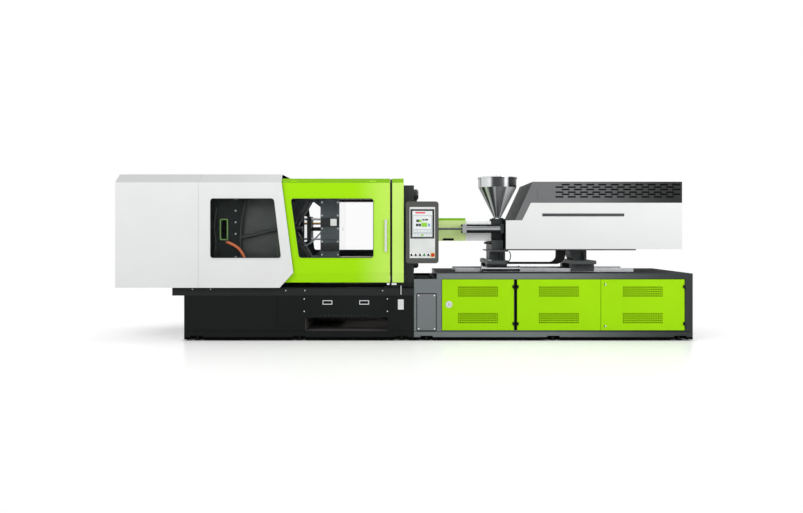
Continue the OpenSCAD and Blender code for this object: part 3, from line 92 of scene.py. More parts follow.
def area_lamp(name, place, aim, size, power):
    """A square soft lamp at place that faces aim."""
    lamp = bpy.data.lights.new(name, "AREA")
    lamp.shape = "SQUARE"
    lamp.size = size
    lamp.energy = power
    lamp_object = bpy.data.objects.new(name, lamp)
    direction = np.array(aim) - np.array(place)
    flat = math.hypot(direction[0], direction[1])
    lamp_object.location = place
    lamp_object.rotation_euler = (
        math.atan2(flat, -direction[2]),
        0,
        math.atan2(direction[1], direction[0]) - math.pi / 2,
    )
    bpy.context.collection.objects.link(lamp_object)


for name, settings in LAMPS.items():
    area_lamp(name, *settings)
print("lamps:", ", ".join(LAMPS))

# %% [markdown]
# ## Shader nodes from code
# The sky, the floor and every finish need shader nodes. They could be wired by hand in the shader editor,
# but a script can repeat the wiring exactly. Two helpers keep it short: one fills the inputs of a node, and
# the other adds a node and fills it.


# %% Node helpers
def fill_inputs(tree, node, inputs):
    """Fills inputs by name or number: an output of another node is linked, a plain value is typed in."""
    for key, value in inputs.items():
        if isinstance(value, bpy.types.NodeSocket):
            tree.links.new(value, node.inputs[key])
        else:
            node.inputs[key].default_value = value


def add_node(tree, kind, inputs, **options):
    """Adds a shader node of a kind, sets its options and fills its inputs."""
    node = tree.nodes.new("ShaderNode" + kind)
    for option, choice in options.items():
        setattr(node, option, choice)
    fill_inputs(tree, node, inputs)
    return node


print("node helpers ready")

# %% [markdown]
# ## Sky and floor
# The backdrop should look white without more light on the machine. A brighter sky would whiten it, but it
# would wash out the paint too. The Light Path node tells the two apart: the camera, reflections and clear
# sheets see full white, while the machine is lit by a dimmer sky.

# %% Sky and floor
SKY_STRENGTH = 0.40
FLOOR_SIZE = 60.0


def seen_directly(tree):
    """1 for rays from the camera, from reflections and through clear sheets, 0 for light on the machine."""
    path = tree.nodes.new("ShaderNodeLightPath").outputs
    seen = path["Is Camera Ray"]
    for ray in ("Is Glossy Ray", "Is Transmission Ray"):
        seen = add_node(tree, "Math", {0: seen, 1: path[ray]}, operation="MAXIMUM").outputs[0]
    return seen


world = bpy.data.worlds.new("sky")
bpy.context.scene.world = world
world.use_nodes = True
sky = world.node_tree
sky_range = {"Value": seen_directly(sky), "To Min": SKY_STRENGTH, "To Max": 1.0}
brightness = add_node(sky, "MapRange", sky_range).outputs["Result"]
fill_inputs(sky, sky.nodes["Background"], {"Color": (1, 1, 1, 1), "Strength": brightness})

corner = FLOOR_SIZE / 2
floor_mesh = bpy.data.meshes.new("floor")
floor_mesh.from_pydata(
    [(-corner, -corner, 0), (corner, -corner, 0), (corner, corner, 0), (-corner, corner, 0)],
    [],
    [(0, 1, 2, 3)],
)
floor = bpy.data.objects.new("floor", floor_mesh)
bpy.context.collection.objects.link(floor)
print("sky strength", SKY_STRENGTH, "floor", FLOOR_SIZE, "m wide")

# %% [markdown]
# ## The grain of a finish
# Real paint is not one flat colour: it drifts slowly in shade, its gloss is uneven and its skin has a fine
# relief. Image textures could show that, but they need unwrapped meshes. Noise on Object coordinates needs
# none, and it keeps its true size in metres on every solid.


# %% Grain helpers
def srgb(red, green, blue):
    """Screen colour from 0 to 255 as linear light: c / 12.92 where dark, else ((c + 0.055) / 1.055)^2.4."""
    c = np.array([red, green, blue]) / 255
    linear = np.where(c <= 0.04045, c / 12.92, ((c + 0.055) / 1.055) ** 2.4)
    return tuple(float(v) for v in linear)


def shade(colour, factor):
    """A colour made darker or lighter."""
    return tuple(min(1.0, c * factor) for c in colour)


def start_finish(name):
    """A new material with a Principled shader and Object coordinates."""
    material = bpy.data.materials.new(name)
    material.use_nodes = True
    tree = material.node_tree
    shader = tree.nodes["Principled BSDF"]
    coords = tree.nodes.new("ShaderNodeTexCoord").outputs["Object"]
    return material, tree, shader, coords


def noise(tree, coords, scale, detail=3.0, stretch=None):
    """Noise with scale cells in a metre; stretch scales its axes, for brushed grain."""
    if stretch:
        coords = add_node(tree, "Mapping", {"Vector": coords, "Scale": stretch}).outputs["Vector"]
    cells = {"Vector": coords, "Scale": scale, "Detail": detail}
    return add_node(tree, "TexNoise", cells).outputs["Fac"]


def ramp(tree, value, low, high, start=0.3, end=0.7):
    """Colour between low and high as value goes from start to end."""
    node = add_node(tree, "ValToRGB", {"Fac": value})
    for stop, position, colour in zip(node.color_ramp.elements, (start, end), (low, high)):
        stop.position = position
        stop.color = (*colour, 1)
    return node.outputs["Color"]


def spread(tree, value, low, high):
    """Number between low and high as value goes from 0.25 to 0.75, where most of a noise lies."""
    limits = {"Value": value, "From Min": 0.25, "From Max": 0.75, "To Min": low, "To Max": high}
    return add_node(tree, "MapRange", limits).outputs["Result"]


def relief(tree, height, depth, strength):
    """Normals of a relief that is depth metres deep where height goes from 0 to 1."""
    bump = {"Height": height, "Distance": depth, "Strength": strength}
    return add_node(tree, "Bump", bump).outputs["Normal"]


print("grain helpers ready")

# %% [markdown]
# ## Paint
# Covers, doors and bases are powder coated sheet, and the platens are painted castings. A plain Principled
# shader would look like plastic film, so sheet paint gets an orange peel of about 3 mm, and a casting gets a
# coarse sand skin. A base, a cap and a door also get a painted shade that changes along X, standing in for
# the uneven light on long sheets.


# %% Paint
def orange_peel(tree, shader, coords, colour, gloss, sheen):
    """Paint skin under any colour: uneven gloss and a fine relief."""
    skin = {
        "Base Color": colour,
        "Roughness": spread(tree, noise(tree, coords, 14.0), *gloss),
        "Specular IOR Level": sheen,
        "Normal": relief(tree, noise(tree, coords, 320.0, 2.0), 0.0004, 0.12),
    }
    fill_inputs(tree, shader, skin)


def powder_coat(name, colour, gloss, drift, sheen):
    """Sheet-metal paint with a slow drift of shade."""
    material, tree, shader, coords = start_finish(name)
    slow = noise(tree, coords, 2.2)
    drifting = ramp(tree, slow, shade(colour, 1 - drift), shade(colour, 1 + drift))
    orange_peel(tree, shader, coords, drifting, gloss, sheen)
    return material


def graded_coat(name, first, last, ends, gloss, sheen):
    """Paint with a painted shade that goes from a first to a last colour between two places along X; ends are
    in metres.
    """
    material, tree, shader, coords = start_finish(name)
    place = add_node(tree, "SeparateXYZ", {"Vector": coords}).outputs["X"]
    limits = {"Value": place, "From Min": ends[0], "From Max": ends[1]}
    along = add_node(tree, "MapRange", limits, interpolation_type="SMOOTHSTEP").outputs["Result"]
    orange_peel(tree, shader, coords, ramp(tree, along, first, last, 0.0, 1.0), gloss, sheen)
    return material


def casting(name, colour):
    """Painted casting: a coarse sand skin under thick paint."""
    material, tree, shader, coords = start_finish(name)
    mottled = noise(tree, coords, 9.0, 6.0)
    skin = {
        "Base Color": ramp(tree, mottled, shade(colour, 0.78), shade(colour, 1.18)),
        "Roughness": spread(tree, noise(tree, coords, 25.0), 0.42, 0.62),
        "Normal": relief(tree, noise(tree, coords, 110.0, 5.0), 0.0012, 0.35),
    }
    fill_inputs(tree, shader, skin)
    return material


print("paints: powder coat, graded coat, casting")

# %% [markdown]
# ## Steel
# Rails and screws are brushed, rods and tie bars are polished, and the hopper is bright sheet rolled into a
# cone. Metallic noise gives the first two. The cone's look comes from painted reflections, dark and bright
# bands that run down it, so a colour ramp goes round its axis, and the painted reflections stay with the
# sheet from every side.

# %% Steel
GRAIN_ALONG_X = (6.0, 500.0, 500.0)


def brushed(name, colour):
    """Bare steel with fine scratches along X."""
    material, tree, shader, coords = start_finish(name)
    grain = noise(tree, coords, 1.0, 4.0, GRAIN_ALONG_X)
    skin = {
        "Base Color": ramp(tree, grain, shade(colour, 0.86), shade(colour, 1.08)),
        "Roughness": spread(tree, grain, 0.22, 0.38),
        "Metallic": 1.0,
        "Normal": relief(tree, grain, 0.0001, 0.15),
    }
    fill_inputs(tree, shader, skin)
    return material


def polish(name, colour, gloss):
    """Polished or plated steel with faint smudges."""
    material, tree, shader, coords = start_finish(name)
    smudge = noise(tree, coords, 7.0, 5.0)
    skin = {
        "Base Color": ramp(tree, smudge, shade(colour, 0.94), colour),
        "Roughness": spread(tree, smudge, *gloss),
        "Metallic": 1.0,
    }
    fill_inputs(tree, shader, skin)
    return material


def rolled_steel(name, axis_x, reflection_bands):
    """Bright sheet rolled round an upright axis, with painted reflections. The reflection bands are pairs of
    place and grey, where the place is |a| / pi with a = atan2(y, x - axis_x), so they run straight down from
    rim to neck."""
    material, tree, shader, coords = start_finish(name)
    place = add_node(tree, "SeparateXYZ", {"Vector": coords}).outputs
    across = add_node(tree, "Math", {0: place["X"], 1: axis_x}, operation="SUBTRACT").outputs[0]
    angle = add_node(tree, "Math", {0: place["Y"], 1: across}, operation="ARCTAN2").outputs[0]
    size = add_node(tree, "Math", {0: angle}, operation="ABSOLUTE").outputs[0]
    share = add_node(tree, "MapRange", {"Value": size, "From Max": math.pi}).outputs["Result"]
    bands = add_node(tree, "ValToRGB", {"Fac": share})
    stops = bands.color_ramp.elements
    while len(stops) < len(reflection_bands):
        stops.new(0.5)
    for stop, (position, grey) in zip(stops, reflection_bands):
        stop.position = position
        stop.color = (*srgb(grey, grey + 2, grey + 4), 1)
    skin = {
        "Base Color": bands.outputs["Color"],
        "Roughness": spread(tree, noise(tree, coords, 9.0), 0.24, 0.34),
        "Metallic": 0.25,
    }
    fill_inputs(tree, shader, skin)
    return material


print("steels: brushed, polished, rolled")

# %% [markdown]
# ## Plastic, clear sheet and screen
# Buttons, seals and hoses are moulded plastic or rubber with a fine grain, and so is the painted shade on
# inner faces. The panes could be glass with refraction, but a thin flat sheet bends no light that anyone
# would notice, so a mostly see-through surface is quicker and cleaner. Screen tiles give a little light of
# their own.


# %% Plastic, clear sheet and screen
def plastic(name, colour, gloss, grain=900.0, depth=0.1, sheen=0.5):
    """Moulded plastic with a fine grain."""
    material, tree, shader, coords = start_finish(name)
    slow = noise(tree, coords, 6.0)
    skin = {
        "Base Color": ramp(tree, slow, shade(colour, 0.93), shade(colour, 1.05)),
        "Roughness": spread(tree, noise(tree, coords, 40.0), *gloss),
        "Specular IOR Level": sheen,
        "Normal": relief(tree, noise(tree, coords, grain, 2.0), 0.0003, depth),
    }
    fill_inputs(tree, shader, skin)
    return material


def clear_sheet(name, tint, density):
    """Clear window sheet: mostly see-through, with gloss and a few faint wipe marks."""
    material, tree, shader, coords = start_finish(name)
    wipes = noise(tree, coords, 1.0, 4.0, (3.0, 3.0, 30.0))
    skin = {
        "Base Color": ramp(tree, wipes, shade(tint, 0.96), tint),
        "Roughness": spread(tree, wipes, 0.02, 0.07),
        "Alpha": density,
        "Specular IOR Level": 0.04,
    }
    fill_inputs(tree, shader, skin)
    material.surface_render_method = "BLENDED"
    return material


def glowing(name, colour):
    """Screen colour that gives a little light of its own."""
    material, tree, shader, coords = start_finish(name)
    tone = ramp(tree, noise(tree, coords, 60.0, 1.0), shade(colour, 0.92), shade(colour, 1.04))
    skin = {"Base Color": tone, "Emission Color": tone, "Emission Strength": 0.35, "Roughness": 0.2}
    fill_inputs(tree, shader, skin)
    return material


print("plastics: moulded, clear sheet, screen")

# %% [markdown]
# ## Floor finish
# The floor has to show the machine's shadow and still end in plain white. It is lit paint near the machine,
# lifted a little beside the base so that only the shadow stays grey, and it blends into a white glow far
# away. One emission shader for the whole floor would be easier, but then there would be no shadow.

# %% Floor finish
FLOOR_LIFT = 0.30
BASE_MIDDLE = (0.40, 0.0, 0.0)
BASE_HALF = (3.05, 0.72, 0.0)
LIFT_EDGE = 0.06
FLOOR_LIT = 3.2
FLOOR_WHITE = 6.5


def beside_the_base(tree, coords):
    """FLOOR_LIFT outside the footprint of the base and 0 under it: the larger of |x - middle| - half and
    |y - middle| - half, taken from 0 to LIFT_EDGE."""
    centred = add_node(tree, "VectorMath", {0: coords, 1: BASE_MIDDLE}, operation="SUBTRACT").outputs[0]
    folded = add_node(tree, "VectorMath", {0: centred}, operation="ABSOLUTE").outputs[0]
    beyond = add_node(tree, "VectorMath", {0: folded, 1: BASE_HALF}, operation="SUBTRACT").outputs[0]
    parts = add_node(tree, "SeparateXYZ", {"Vector": beyond}).outputs
    outer = add_node(tree, "Math", {0: parts["X"], 1: parts["Y"]}, operation="MAXIMUM").outputs[0]
    limits = {"Value": outer, "From Min": 0.0, "From Max": LIFT_EDGE, "To Max": FLOOR_LIFT}
    return add_node(tree, "MapRange", limits).outputs["Result"]


def studio_floor(name):
    """White floor: lit paint near the machine that blends to plain white from FLOOR_LIT to FLOOR_WHITE."""
    material, tree, shader, coords = start_finish(name)
    lifted = {0: seen_directly(tree), 1: beside_the_base(tree, coords)}
    skin = {
        "Base Color": (0.93, 0.93, 0.93, 1),
        "Roughness": 0.32,
        "Specular IOR Level": 0.25,
        "Emission Color": (1, 1, 1, 1),
        "Emission Strength": add_node(tree, "Math", lifted, operation="MULTIPLY").outputs[0],
    }
    fill_inputs(tree, shader, skin)
    reach = add_node(tree, "VectorMath", {0: coords}, operation="LENGTH").outputs["Value"]
    limits = {"Value": reach, "From Min": FLOOR_LIT, "From Max": FLOOR_WHITE}
    far = add_node(tree, "MapRange", limits, interpolation_type="SMOOTHSTEP").outputs["Result"]
    glow = tree.nodes.new("ShaderNodeEmission").outputs["Emission"]
    mix = add_node(tree, "MixShader", {"Fac": far, 1: shader.outputs["BSDF"], 2: glow})
    fill_inputs(tree, tree.nodes["Material Output"], {"Surface": mix.outputs["Shader"]})
    return material


floor_mesh.materials.append(studio_floor("floor_white"))
print("floor white from", FLOOR_WHITE, "m")

# %% [markdown]
# ## Paint tones
# The colours are judged one by one: a bright yellow-green, a soft white, near-black base paint, mid-grey caps
# and dark castings. One block of code for each finish would hide how they differ. A dictionary for each kind
# lets all tones be read and compared in one table.

# %% Paint tones
PAINTS = {
    # name: screen colour, gloss from and to, drift of shade, sheen
    "green_paint": ((164, 225, 4), (0.4, 0.55), 0.03, 0.1),
    "white_paint": ((230, 231, 231), (0.3, 0.44), 0.015, 0.5),
    "black_paint": ((20, 24, 23), (0.4, 0.56), 0.12, 0.1),
    "grey_paint": ((50, 54, 56), (0.36, 0.5), 0.1, 0.3),
    "panel_grey": ((116, 120, 123), (0.34, 0.48), 0.05, 0.3),
    "cap_grey": ((80, 82, 84), (0.32, 0.44), 0.05, 0.3),
    # post_green is a painted highlight: the paler green stands in for light on the door posts.
    "post_green": ((203, 243, 116), (0.4, 0.55), 0.02, 0.12),
    "guard_white": ((246, 249, 248), (0.3, 0.4), 0.02, 0.4),
    "purge_green": ((126, 186, 22), (0.45, 0.6), 0.02, 0.05),
    # pale_green is a painted highlight on the purge guard's front, and fold_green is painted shade on green
    # faces that turn up.
    "pale_green": ((228, 255, 170), (0.35, 0.5), 0.03, 0.15),
    "fold_green": ((132, 190, 2), (0.45, 0.6), 0.02, 0.08),
    "frame_green": ((96, 138, 62), (0.3, 0.44), 0.05, 0.5),
    # fold_white, deck_grey and slant_grey are painted shade on the cover folds, the deck top and the cap's
    # left slant.
    "fold_white": ((204, 206, 206), (0.3, 0.44), 0.015, 0.5),
    "deck_grey": ((54, 58, 60), (0.6, 0.75), 0.06, 0.02),
    "slant_grey": ((56, 57, 58), (0.45, 0.6), 0.04, 0.05),
    "beam_grey": ((34, 37, 37), (0.4, 0.55), 0.1, 0.15),
    "chute_skin": ((104, 101, 98), (0.5, 0.65), 0.15, 0.1),
    "block_black": ((24, 27, 28), (0.36, 0.5), 0.1, 0.25),
}
# Painted shade and highlight: base_grey and cap_shaded darken along X, and door_green pales toward the post,
# standing in for uneven light.
GRADED_PAINTS = {
    # name: screen colours at both ends, places of the ends, gloss, sheen
    "base_grey": ((116, 122, 124), (46, 51, 51), (1.3, 3.45), (0.34, 0.48), 0.2),
    "cap_shaded": ((112, 113, 115), (18, 19, 20), (1.75, 3.4), (0.34, 0.48), 0.2),
    "door_green": ((166, 231, 4), (194, 240, 92), (-0.62, -0.2), (0.4, 0.55), 0.12),
}
CASTINGS = {
    "cast_paint": (40, 46, 48),
    "platen_paint": (56, 66, 68),
    "fixed_paint": (28, 31, 31),
    "carriage_paint": (60, 65, 66),
    "sheet_grey": (42, 47, 45),
}

finish = {name: powder_coat(name, srgb(*colour), *rest) for name, (colour, *rest) in PAINTS.items()}
finish |= {name: casting(name, srgb(*colour)) for name, colour in CASTINGS.items()}
for name, (first, last, *rest) in GRADED_PAINTS.items():
    finish[name] = graded_coat(name, srgb(*first), srgb(*last), *rest)
print("paints:", len(finish))

# %% [markdown]
# ## Steel tones
# Rods that stand in the shade are darker than plated pulls in the open, though both are steel. A studio full
# of lamps and cards could bring that out, but a tone for each kind is steadier from every side, so the darker
# rod tone is painted shade. The hopper's painted reflections are counted from its right side round to its
# left.

# %% Steel tones
BRUSHED_STEELS = {
    "steel": (190, 192, 194),
    "cylinder_steel": (158, 160, 162),
    "screw_steel": (84, 86, 88),
}
POLISHED_STEELS = {
    # name: screen colour, gloss from and to
    "polished": ((222, 224, 227), (0.06, 0.16)),
    "rod_steel": ((96, 99, 101), (0.15, 0.25)),
    "tie_steel": ((118, 108, 104), (0.15, 0.25)),
    "ground_face": ((240, 241, 242), (0.05, 0.1)),
    "golden_screw": ((190, 150, 84), (0.2, 0.32)),
    "fitting_steel": ((104, 100, 90), (0.22, 0.34)),
}
HOPPER_X = 1.2
# Painted reflections: bright and dark bands of grey round the hopper's axis.
HOPPER_REFLECTIONS = {
    # name: pairs of place round the axis and grey
    "cone_sheet": (
        (0.05, 235), (0.13, 250), (0.37, 252), (0.40, 118), (0.56, 92), (0.59, 175), (0.62, 70), (0.68, 40),
        (0.72, 190), (0.75, 235), (0.79, 40), (0.84, 30), (0.87, 200), (0.91, 36), (0.96, 170),
    ),
    "band_sheet": (
        (0.04, 120), (0.07, 30), (0.34, 24), (0.37, 235), (0.41, 200), (0.44, 60), (0.60, 46), (0.63, 110),
        (0.66, 240), (0.84, 246), (0.87, 120), (0.91, 238), (0.94, 130),
    ),
}

finish |= {name: brushed(name, srgb(*colour)) for name, colour in BRUSHED_STEELS.items()}
finish |= {name: polish(name, srgb(*colour), gloss) for name, (colour, gloss) in POLISHED_STEELS.items()}
finish |= {name: rolled_steel(name, HOPPER_X, reflection_bands) for name, reflection_bands in HOPPER_REFLECTIONS.items()}
print("paints and steels:", len(finish))

# %% [markdown]
# ## Plastic and screen tones
# Plastics differ most in their gloss: a button shines, and a rubber seal hardly does. The grain could be one
# for all, but the painted shade on inner faces takes a coarser one than a moulded front, so a row can name
# its own.

# %% Plastic and screen tones
PLASTICS = {
    # name: screen colour, gloss from and to, then grain, depth of relief and sheen where they differ
    "panel_dark": ((68, 70, 66), (0.4, 0.55)),
    "panel_white": ((226, 229, 227), (0.3, 0.4)),
    "screen": ((18, 19, 21), (0.1, 0.18), 200.0, 0.0),
    "button_black": ((30, 30, 32), (0.2, 0.3)),
    "button_green": ((40, 140, 62), (0.2, 0.3)),
    "red": ((196, 28, 24), (0.2, 0.3)),
    "yellow_plate": ((236, 200, 30), (0.3, 0.4)),
    "conduit": ((16, 16, 17), (0.55, 0.7), 500.0, 0.3, 0.1),
    "seal_rubber": ((22, 23, 24), (0.55, 0.7), 700.0, 0.25),
    "cable_orange": ((206, 108, 62), (0.4, 0.55), 500.0, 0.2),
    "hose_grey": ((120, 132, 136), (0.35, 0.5), 500.0, 0.2),
    "dark_trim": ((46, 49, 52), (0.35, 0.5)),
    # Painted shade: the next two rows darken inner faces, mouths and the inside of the cap, and turn the rear
    # cover's inner face grey.
    "painted_inner_shade": ((16, 18, 18), (0.8, 0.9), 260.0, 0.5, 0.05),
    "rear_painted_shade": ((126, 134, 130), (0.7, 0.85), 30.0, 0.5),
    # Painted shadow: the next row is the black of the strips along the foot of the bases, where the gap under
    # the base lies in shade, and of the access gasket.
    "shadow_and_trim_black": ((6, 6, 7), (0.75, 0.9), 260.0, 0.4, 0.03),
}
SCREEN_TONES = {
    "tile_grey": (176, 182, 184),
    "tile_white": (206, 210, 211),
    "tile_red": (206, 52, 58),
    "tile_blue": (92, 138, 176),
    "tile_green": (126, 186, 40),
    "tile_ink": (52, 58, 58),
}
PANE_TINT = (130, 140, 142)
PANE_DENSITY = 0.010

finish |= {name: plastic(name, srgb(*colour), *rest) for name, (colour, *rest) in PLASTICS.items()}
finish |= {name: glowing(name, srgb(*colour)) for name, colour in SCREEN_TONES.items()}
finish["pane"] = clear_sheet("pane", srgb(*PANE_TINT), PANE_DENSITY)
print("finishes:", len(finish))

# %% [markdown]
# ## Finishes on the solids
# The record names a material slot for each solid, and most solids take the finish of that name. Some look
# different from their neighbours of the same slot, because they are cast, cut or lit another way, so a short
# list gives those a finish of their own.

# %% Finishes on the solids
OWN_FINISH = {
    # hopper and hopper_band get painted reflections, injection_base and injection_cap painted shade,
    # front_door and door_posts a painted highlight.
    "hopper": "cone_sheet",
    "hopper_band": "band_sheet",
    "injection_base": "base_grey",
    "injection_cap": "cap_shaded",
    "front_door": "door_green",
    "door_posts": "post_green",
    "barrel_guard": "guard_white",
    "moving_platen": "platen_paint",
    "fixed_platen": "fixed_paint",
    "injection_carriage": "carriage_paint",
    "purge_guard": "purge_green",
    "traverse_cylinders": "cylinder_steel",
    "carriage_rods": "rod_steel",
    "tie_bars": "tie_steel",
    "clamp_screw": "screw_steel",
}
slot_of = {entry["node"]: entry["material_slot"] for entry in frame["record"]["subparts"]}
for name, node in nodes.items():
    node.data.materials.clear()
    node.data.materials.append(finish[OWN_FINISH.get(name, slot_of[name])])
print("solids with a finish of their own:", len(OWN_FINISH))

# %% [markdown]
# ## Two finishes on one solid
# Some solids carry a part of another look, such as a plated pull on a painted panel, or painted shade on the
# inner faces behind a door. The solid could be cut in two, but its mesh has to stay as the CAD made it. So
# the faces whose centre and normal lie between given limits get a second material slot.

# %% Second finish helpers
FAR = 9.0
ANY = (-FAR, FAR)


def below(limit):
    """All places or directions under a limit."""
    return (-FAR, limit)


def above(limit):
    """All places or directions over a limit."""
    return (limit, FAR)


def faces_in(x=ANY, y=ANY, z=ANY, side=ANY, nx=ANY, ny=ANY, nz=ANY, outward=ANY):
    """A test for faces whose centre (x, y, z) and normal (nx, ny, nz) lie between limits. side is the
    distance |y| from the machine's middle plane, and outward is how far the normal points away from it."""
    limits = np.array([x, y, z, side, nx, ny, nz, outward])

    def test(centre, normal):
        away = np.sign(centre[:, 1]) * normal[:, 1]
        values = np.column_stack([centre, abs(centre[:, 1]), normal, away])
        return ((values > limits[:, 0]) & (values < limits[:, 1])).all(axis=1)

    return test


def face_rows(node, what):
    """Centres or normals of a node's faces as an array of rows x, y, z."""
    mesh = nodes[node].data
    values = np.empty(len(mesh.polygons) * 3)
    mesh.polygons.foreach_get(what, values)
    return values.reshape(-1, 3)


def refinish(node, finish_name, test):
    """Faces that pass the test get another finish."""
    mesh = nodes[node].data
    material = finish[finish_name]
    if material.name not in mesh.materials:
        mesh.materials.append(material)
    index = np.empty(len(mesh.polygons), dtype=np.int32)
    mesh.polygons.foreach_get("material_index", index)
    chosen = test(face_rows(node, "center"), face_rows(node, "normal"))
    index[chosen] = mesh.materials.find(material.name)
    mesh.polygons.foreach_set("material_index", index)
    print(node, finish_name, "on faces:", int(chosen.sum()))


def refinish_all(rows):
    """Gives every row of node, finish and test its faces; a later row paints over an earlier one."""
    for row in rows:
        refinish(*row)


print("second finish helpers ready")

# %% [markdown]
# ## Second finishes of the base
# The base doors carry white locks and black hinges, and a beam and a chute have shades of their own. The
# inside of the injection base and the top faces of its deck are darkened with painted shade.
# Picking their faces in edit mode would work once, and would be lost when a size changes. A limit just in
# front of a panel's face picks all that stands on it.

# %% Second finishes of the base
BASE_FACE = -0.720
PROUD = below(BASE_FACE - 0.001)
HINGE_MARGIN = 0.045
PANEL_PROUD = below(-0.7225)
REAR_PANELS = above(0.7)
SMALL_PLATE = {"x": (-0.091, -0.011), "z": (0.368, 0.498)}
INSIDE_BASE = below(0.7195)
CABINET = {"x": below(3.40), "z": below(0.78)}
CHUTE = {"x": (-1.21, -0.20), "z": (0.116, 0.30)}
BRIDGE = above(0.73)
BEAM_PROUD = below(-0.7275)
FACING_UP = above(0.9)
FACING_FRONT = below(-0.9)

base_rows = [("discharge_panel", "polished", faces_in(y=PROUD))]
for door in ("base_door_left", "base_door_middle", "base_door_right"):
    low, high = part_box(door)
    base_rows += [
        (door, "panel_white", faces_in(y=PROUD)),
        (door, "black_paint", faces_in(y=PROUD, x=below(low[0] + HINGE_MARGIN))),
        (door, "black_paint", faces_in(y=PROUD, x=above(high[0] - HINGE_MARGIN))),
    ]
base_rows += [
    ("base_panels", "black_paint", faces_in(y=REAR_PANELS)),
    ("base_panels", "black_paint", faces_in(y=PANEL_PROUD)),
    ("base_panels", "panel_white", faces_in(y=PANEL_PROUD, **SMALL_PLATE)),
    # Painted shade: the inside of the injection base and the top of its deck are darkened.
    ("injection_base", "painted_inner_shade", faces_in(side=INSIDE_BASE, **CABINET)),
    ("injection_base", "deck_grey", faces_in(nz=FACING_UP, z=BRIDGE)),
    ("clamp_base", "beam_grey", faces_in(ny=FACING_FRONT, y=BEAM_PROUD)),
    ("clamp_base", "chute_skin", faces_in(side=INSIDE_BASE, **CHUTE)),
]
refinish_all(base_rows)

# %% [markdown]
# ## Second finishes of the clamp
# Covers and doors get painted shade inside, and their folds and the green faces that turn up get a deeper
# painted shade. Two sheets, one for each side, would show a seam at the edge. A normal tells the sides apart:
# its sign says which way a face looks, and its size tells a fold from a flat wall. Nuts are parted from their
# bars by the distance from the bar's axis.

# %% Second finishes of the clamp
AXIS_Z = 1.345
TIE_OFFSET = 0.42
TIE_SKIN = 0.056
GUIDE_SCREW = {"side": below(0.016), "z": (AXIS_Z + 0.054, AXIS_Z + 0.086)}
EJECTOR_BACK = below(-1.2861)
MOULD_SIDE = above(0.9)
POST_FOOT = {"side": below(0.7255), "z": below(0.80)}
ON_DOOR = 0.7672
DOOR_SKIN = 0.7625
TURNED_UP = above(0.3)
TURNED_BACK = above(0.3)
TURNED_FRONT = below(-0.3)
TURNED_IN = below(-0.3)
FOLD = (0.3, 0.95)
UNDERSIDE = below(-0.5)
END_WALL = {"x": below(-3.4), "nx": above(0.5)}
REAR_HALF = above(0.3)


def tie_nuts(centre, normal):
    """Faces farther from a tie bar's axis than the bar's own skin."""
    across = abs(centre[:, 1]) - TIE_OFFSET
    up = abs(centre[:, 2] - AXIS_Z) - TIE_OFFSET
    return np.hypot(across, up) > TIE_SKIN


clamp_rows = [
    ("tie_bars", "cast_paint", tie_nuts),
    ("ejector_guides", "golden_screw", faces_in(**GUIDE_SCREW)),
    ("ejector_guides", "cast_paint", faces_in(x=EJECTOR_BACK)),
    ("moving_platen", "ground_face", faces_in(nx=MOULD_SIDE)),
    ("door_posts", "black_paint", faces_in(**POST_FOOT)),
    # Painted shade on the green faces that turn up.
    ("door_posts", "fold_green", faces_in(nz=TURNED_UP)),
    ("front_door", "fold_green", faces_in(nz=TURNED_UP)),
    ("front_door", "polished", faces_in(y=below(-ON_DOOR))),
    # Painted shade on the inner faces of both doors.
    ("front_door", "painted_inner_shade", faces_in(ny=TURNED_BACK, y=above(-DOOR_SKIN))),
    ("rear_door", "painted_inner_shade", faces_in(ny=TURNED_FRONT, y=below(DOOR_SKIN))),
    ("rear_door", "polished", faces_in(y=above(ON_DOOR))),
]
for cover in ("clamp_end_panels", "clamp_window_panels"):
    clamp_rows += [
        # Painted shade: folds a deeper white, and inner faces, undersides and end walls dark.
        (cover, "fold_white", faces_in(nz=FOLD)),
        (cover, "painted_inner_shade", faces_in(outward=TURNED_IN)),
        (cover, "painted_inner_shade", faces_in(nz=UNDERSIDE)),
        (cover, "painted_inner_shade", faces_in(**END_WALL)),
        # Painted shade: the rear cover's inner face, seen through the windows, is a mid grey.
        (cover, "rear_painted_shade", faces_in(ny=TURNED_FRONT, y=REAR_HALF)),
    ]
refinish_all(clamp_rows)

# %% [markdown]
# ## Second finishes of the injection unit
# The injection cover has a dark trim in front and a mouth darkened with painted shade, the purge guard a pale
# front, a painted highlight, with a black handle, the cap's slanted left faces a painted shade, and the
# traverse cylinders black bolts. A bolt is a small circle seen along X, so its faces could be boxed in by
# limits, but the distance from its axis fits it better.

# %% Second finishes of the injection unit
CYLINDER_Y = 0.345
BOLT_Y = 0.040
BOLT_Z = 0.042
BOLT_REACH = 0.0115
BOLT_START_X = 0.7661
COVER_PROUD = below(-0.5001)
COVER_MOUTH = {"x": below(1.26), "nx": below(-0.9)}
PURGE_FOLD = below(1.452)
PURGE_PROUD = below(-0.2491)
SLANTED_LEFT = below(-0.3)


def head_bolts(centre, normal):
    """Faces of the four bolts at the back of each traverse cylinder's head."""
    across = abs(abs(centre[:, 1]) - CYLINDER_Y) - BOLT_Y
    up = abs(centre[:, 2] - AXIS_Z) - BOLT_Z
    return (np.hypot(across, up) < BOLT_REACH) & (centre[:, 0] > BOLT_START_X)


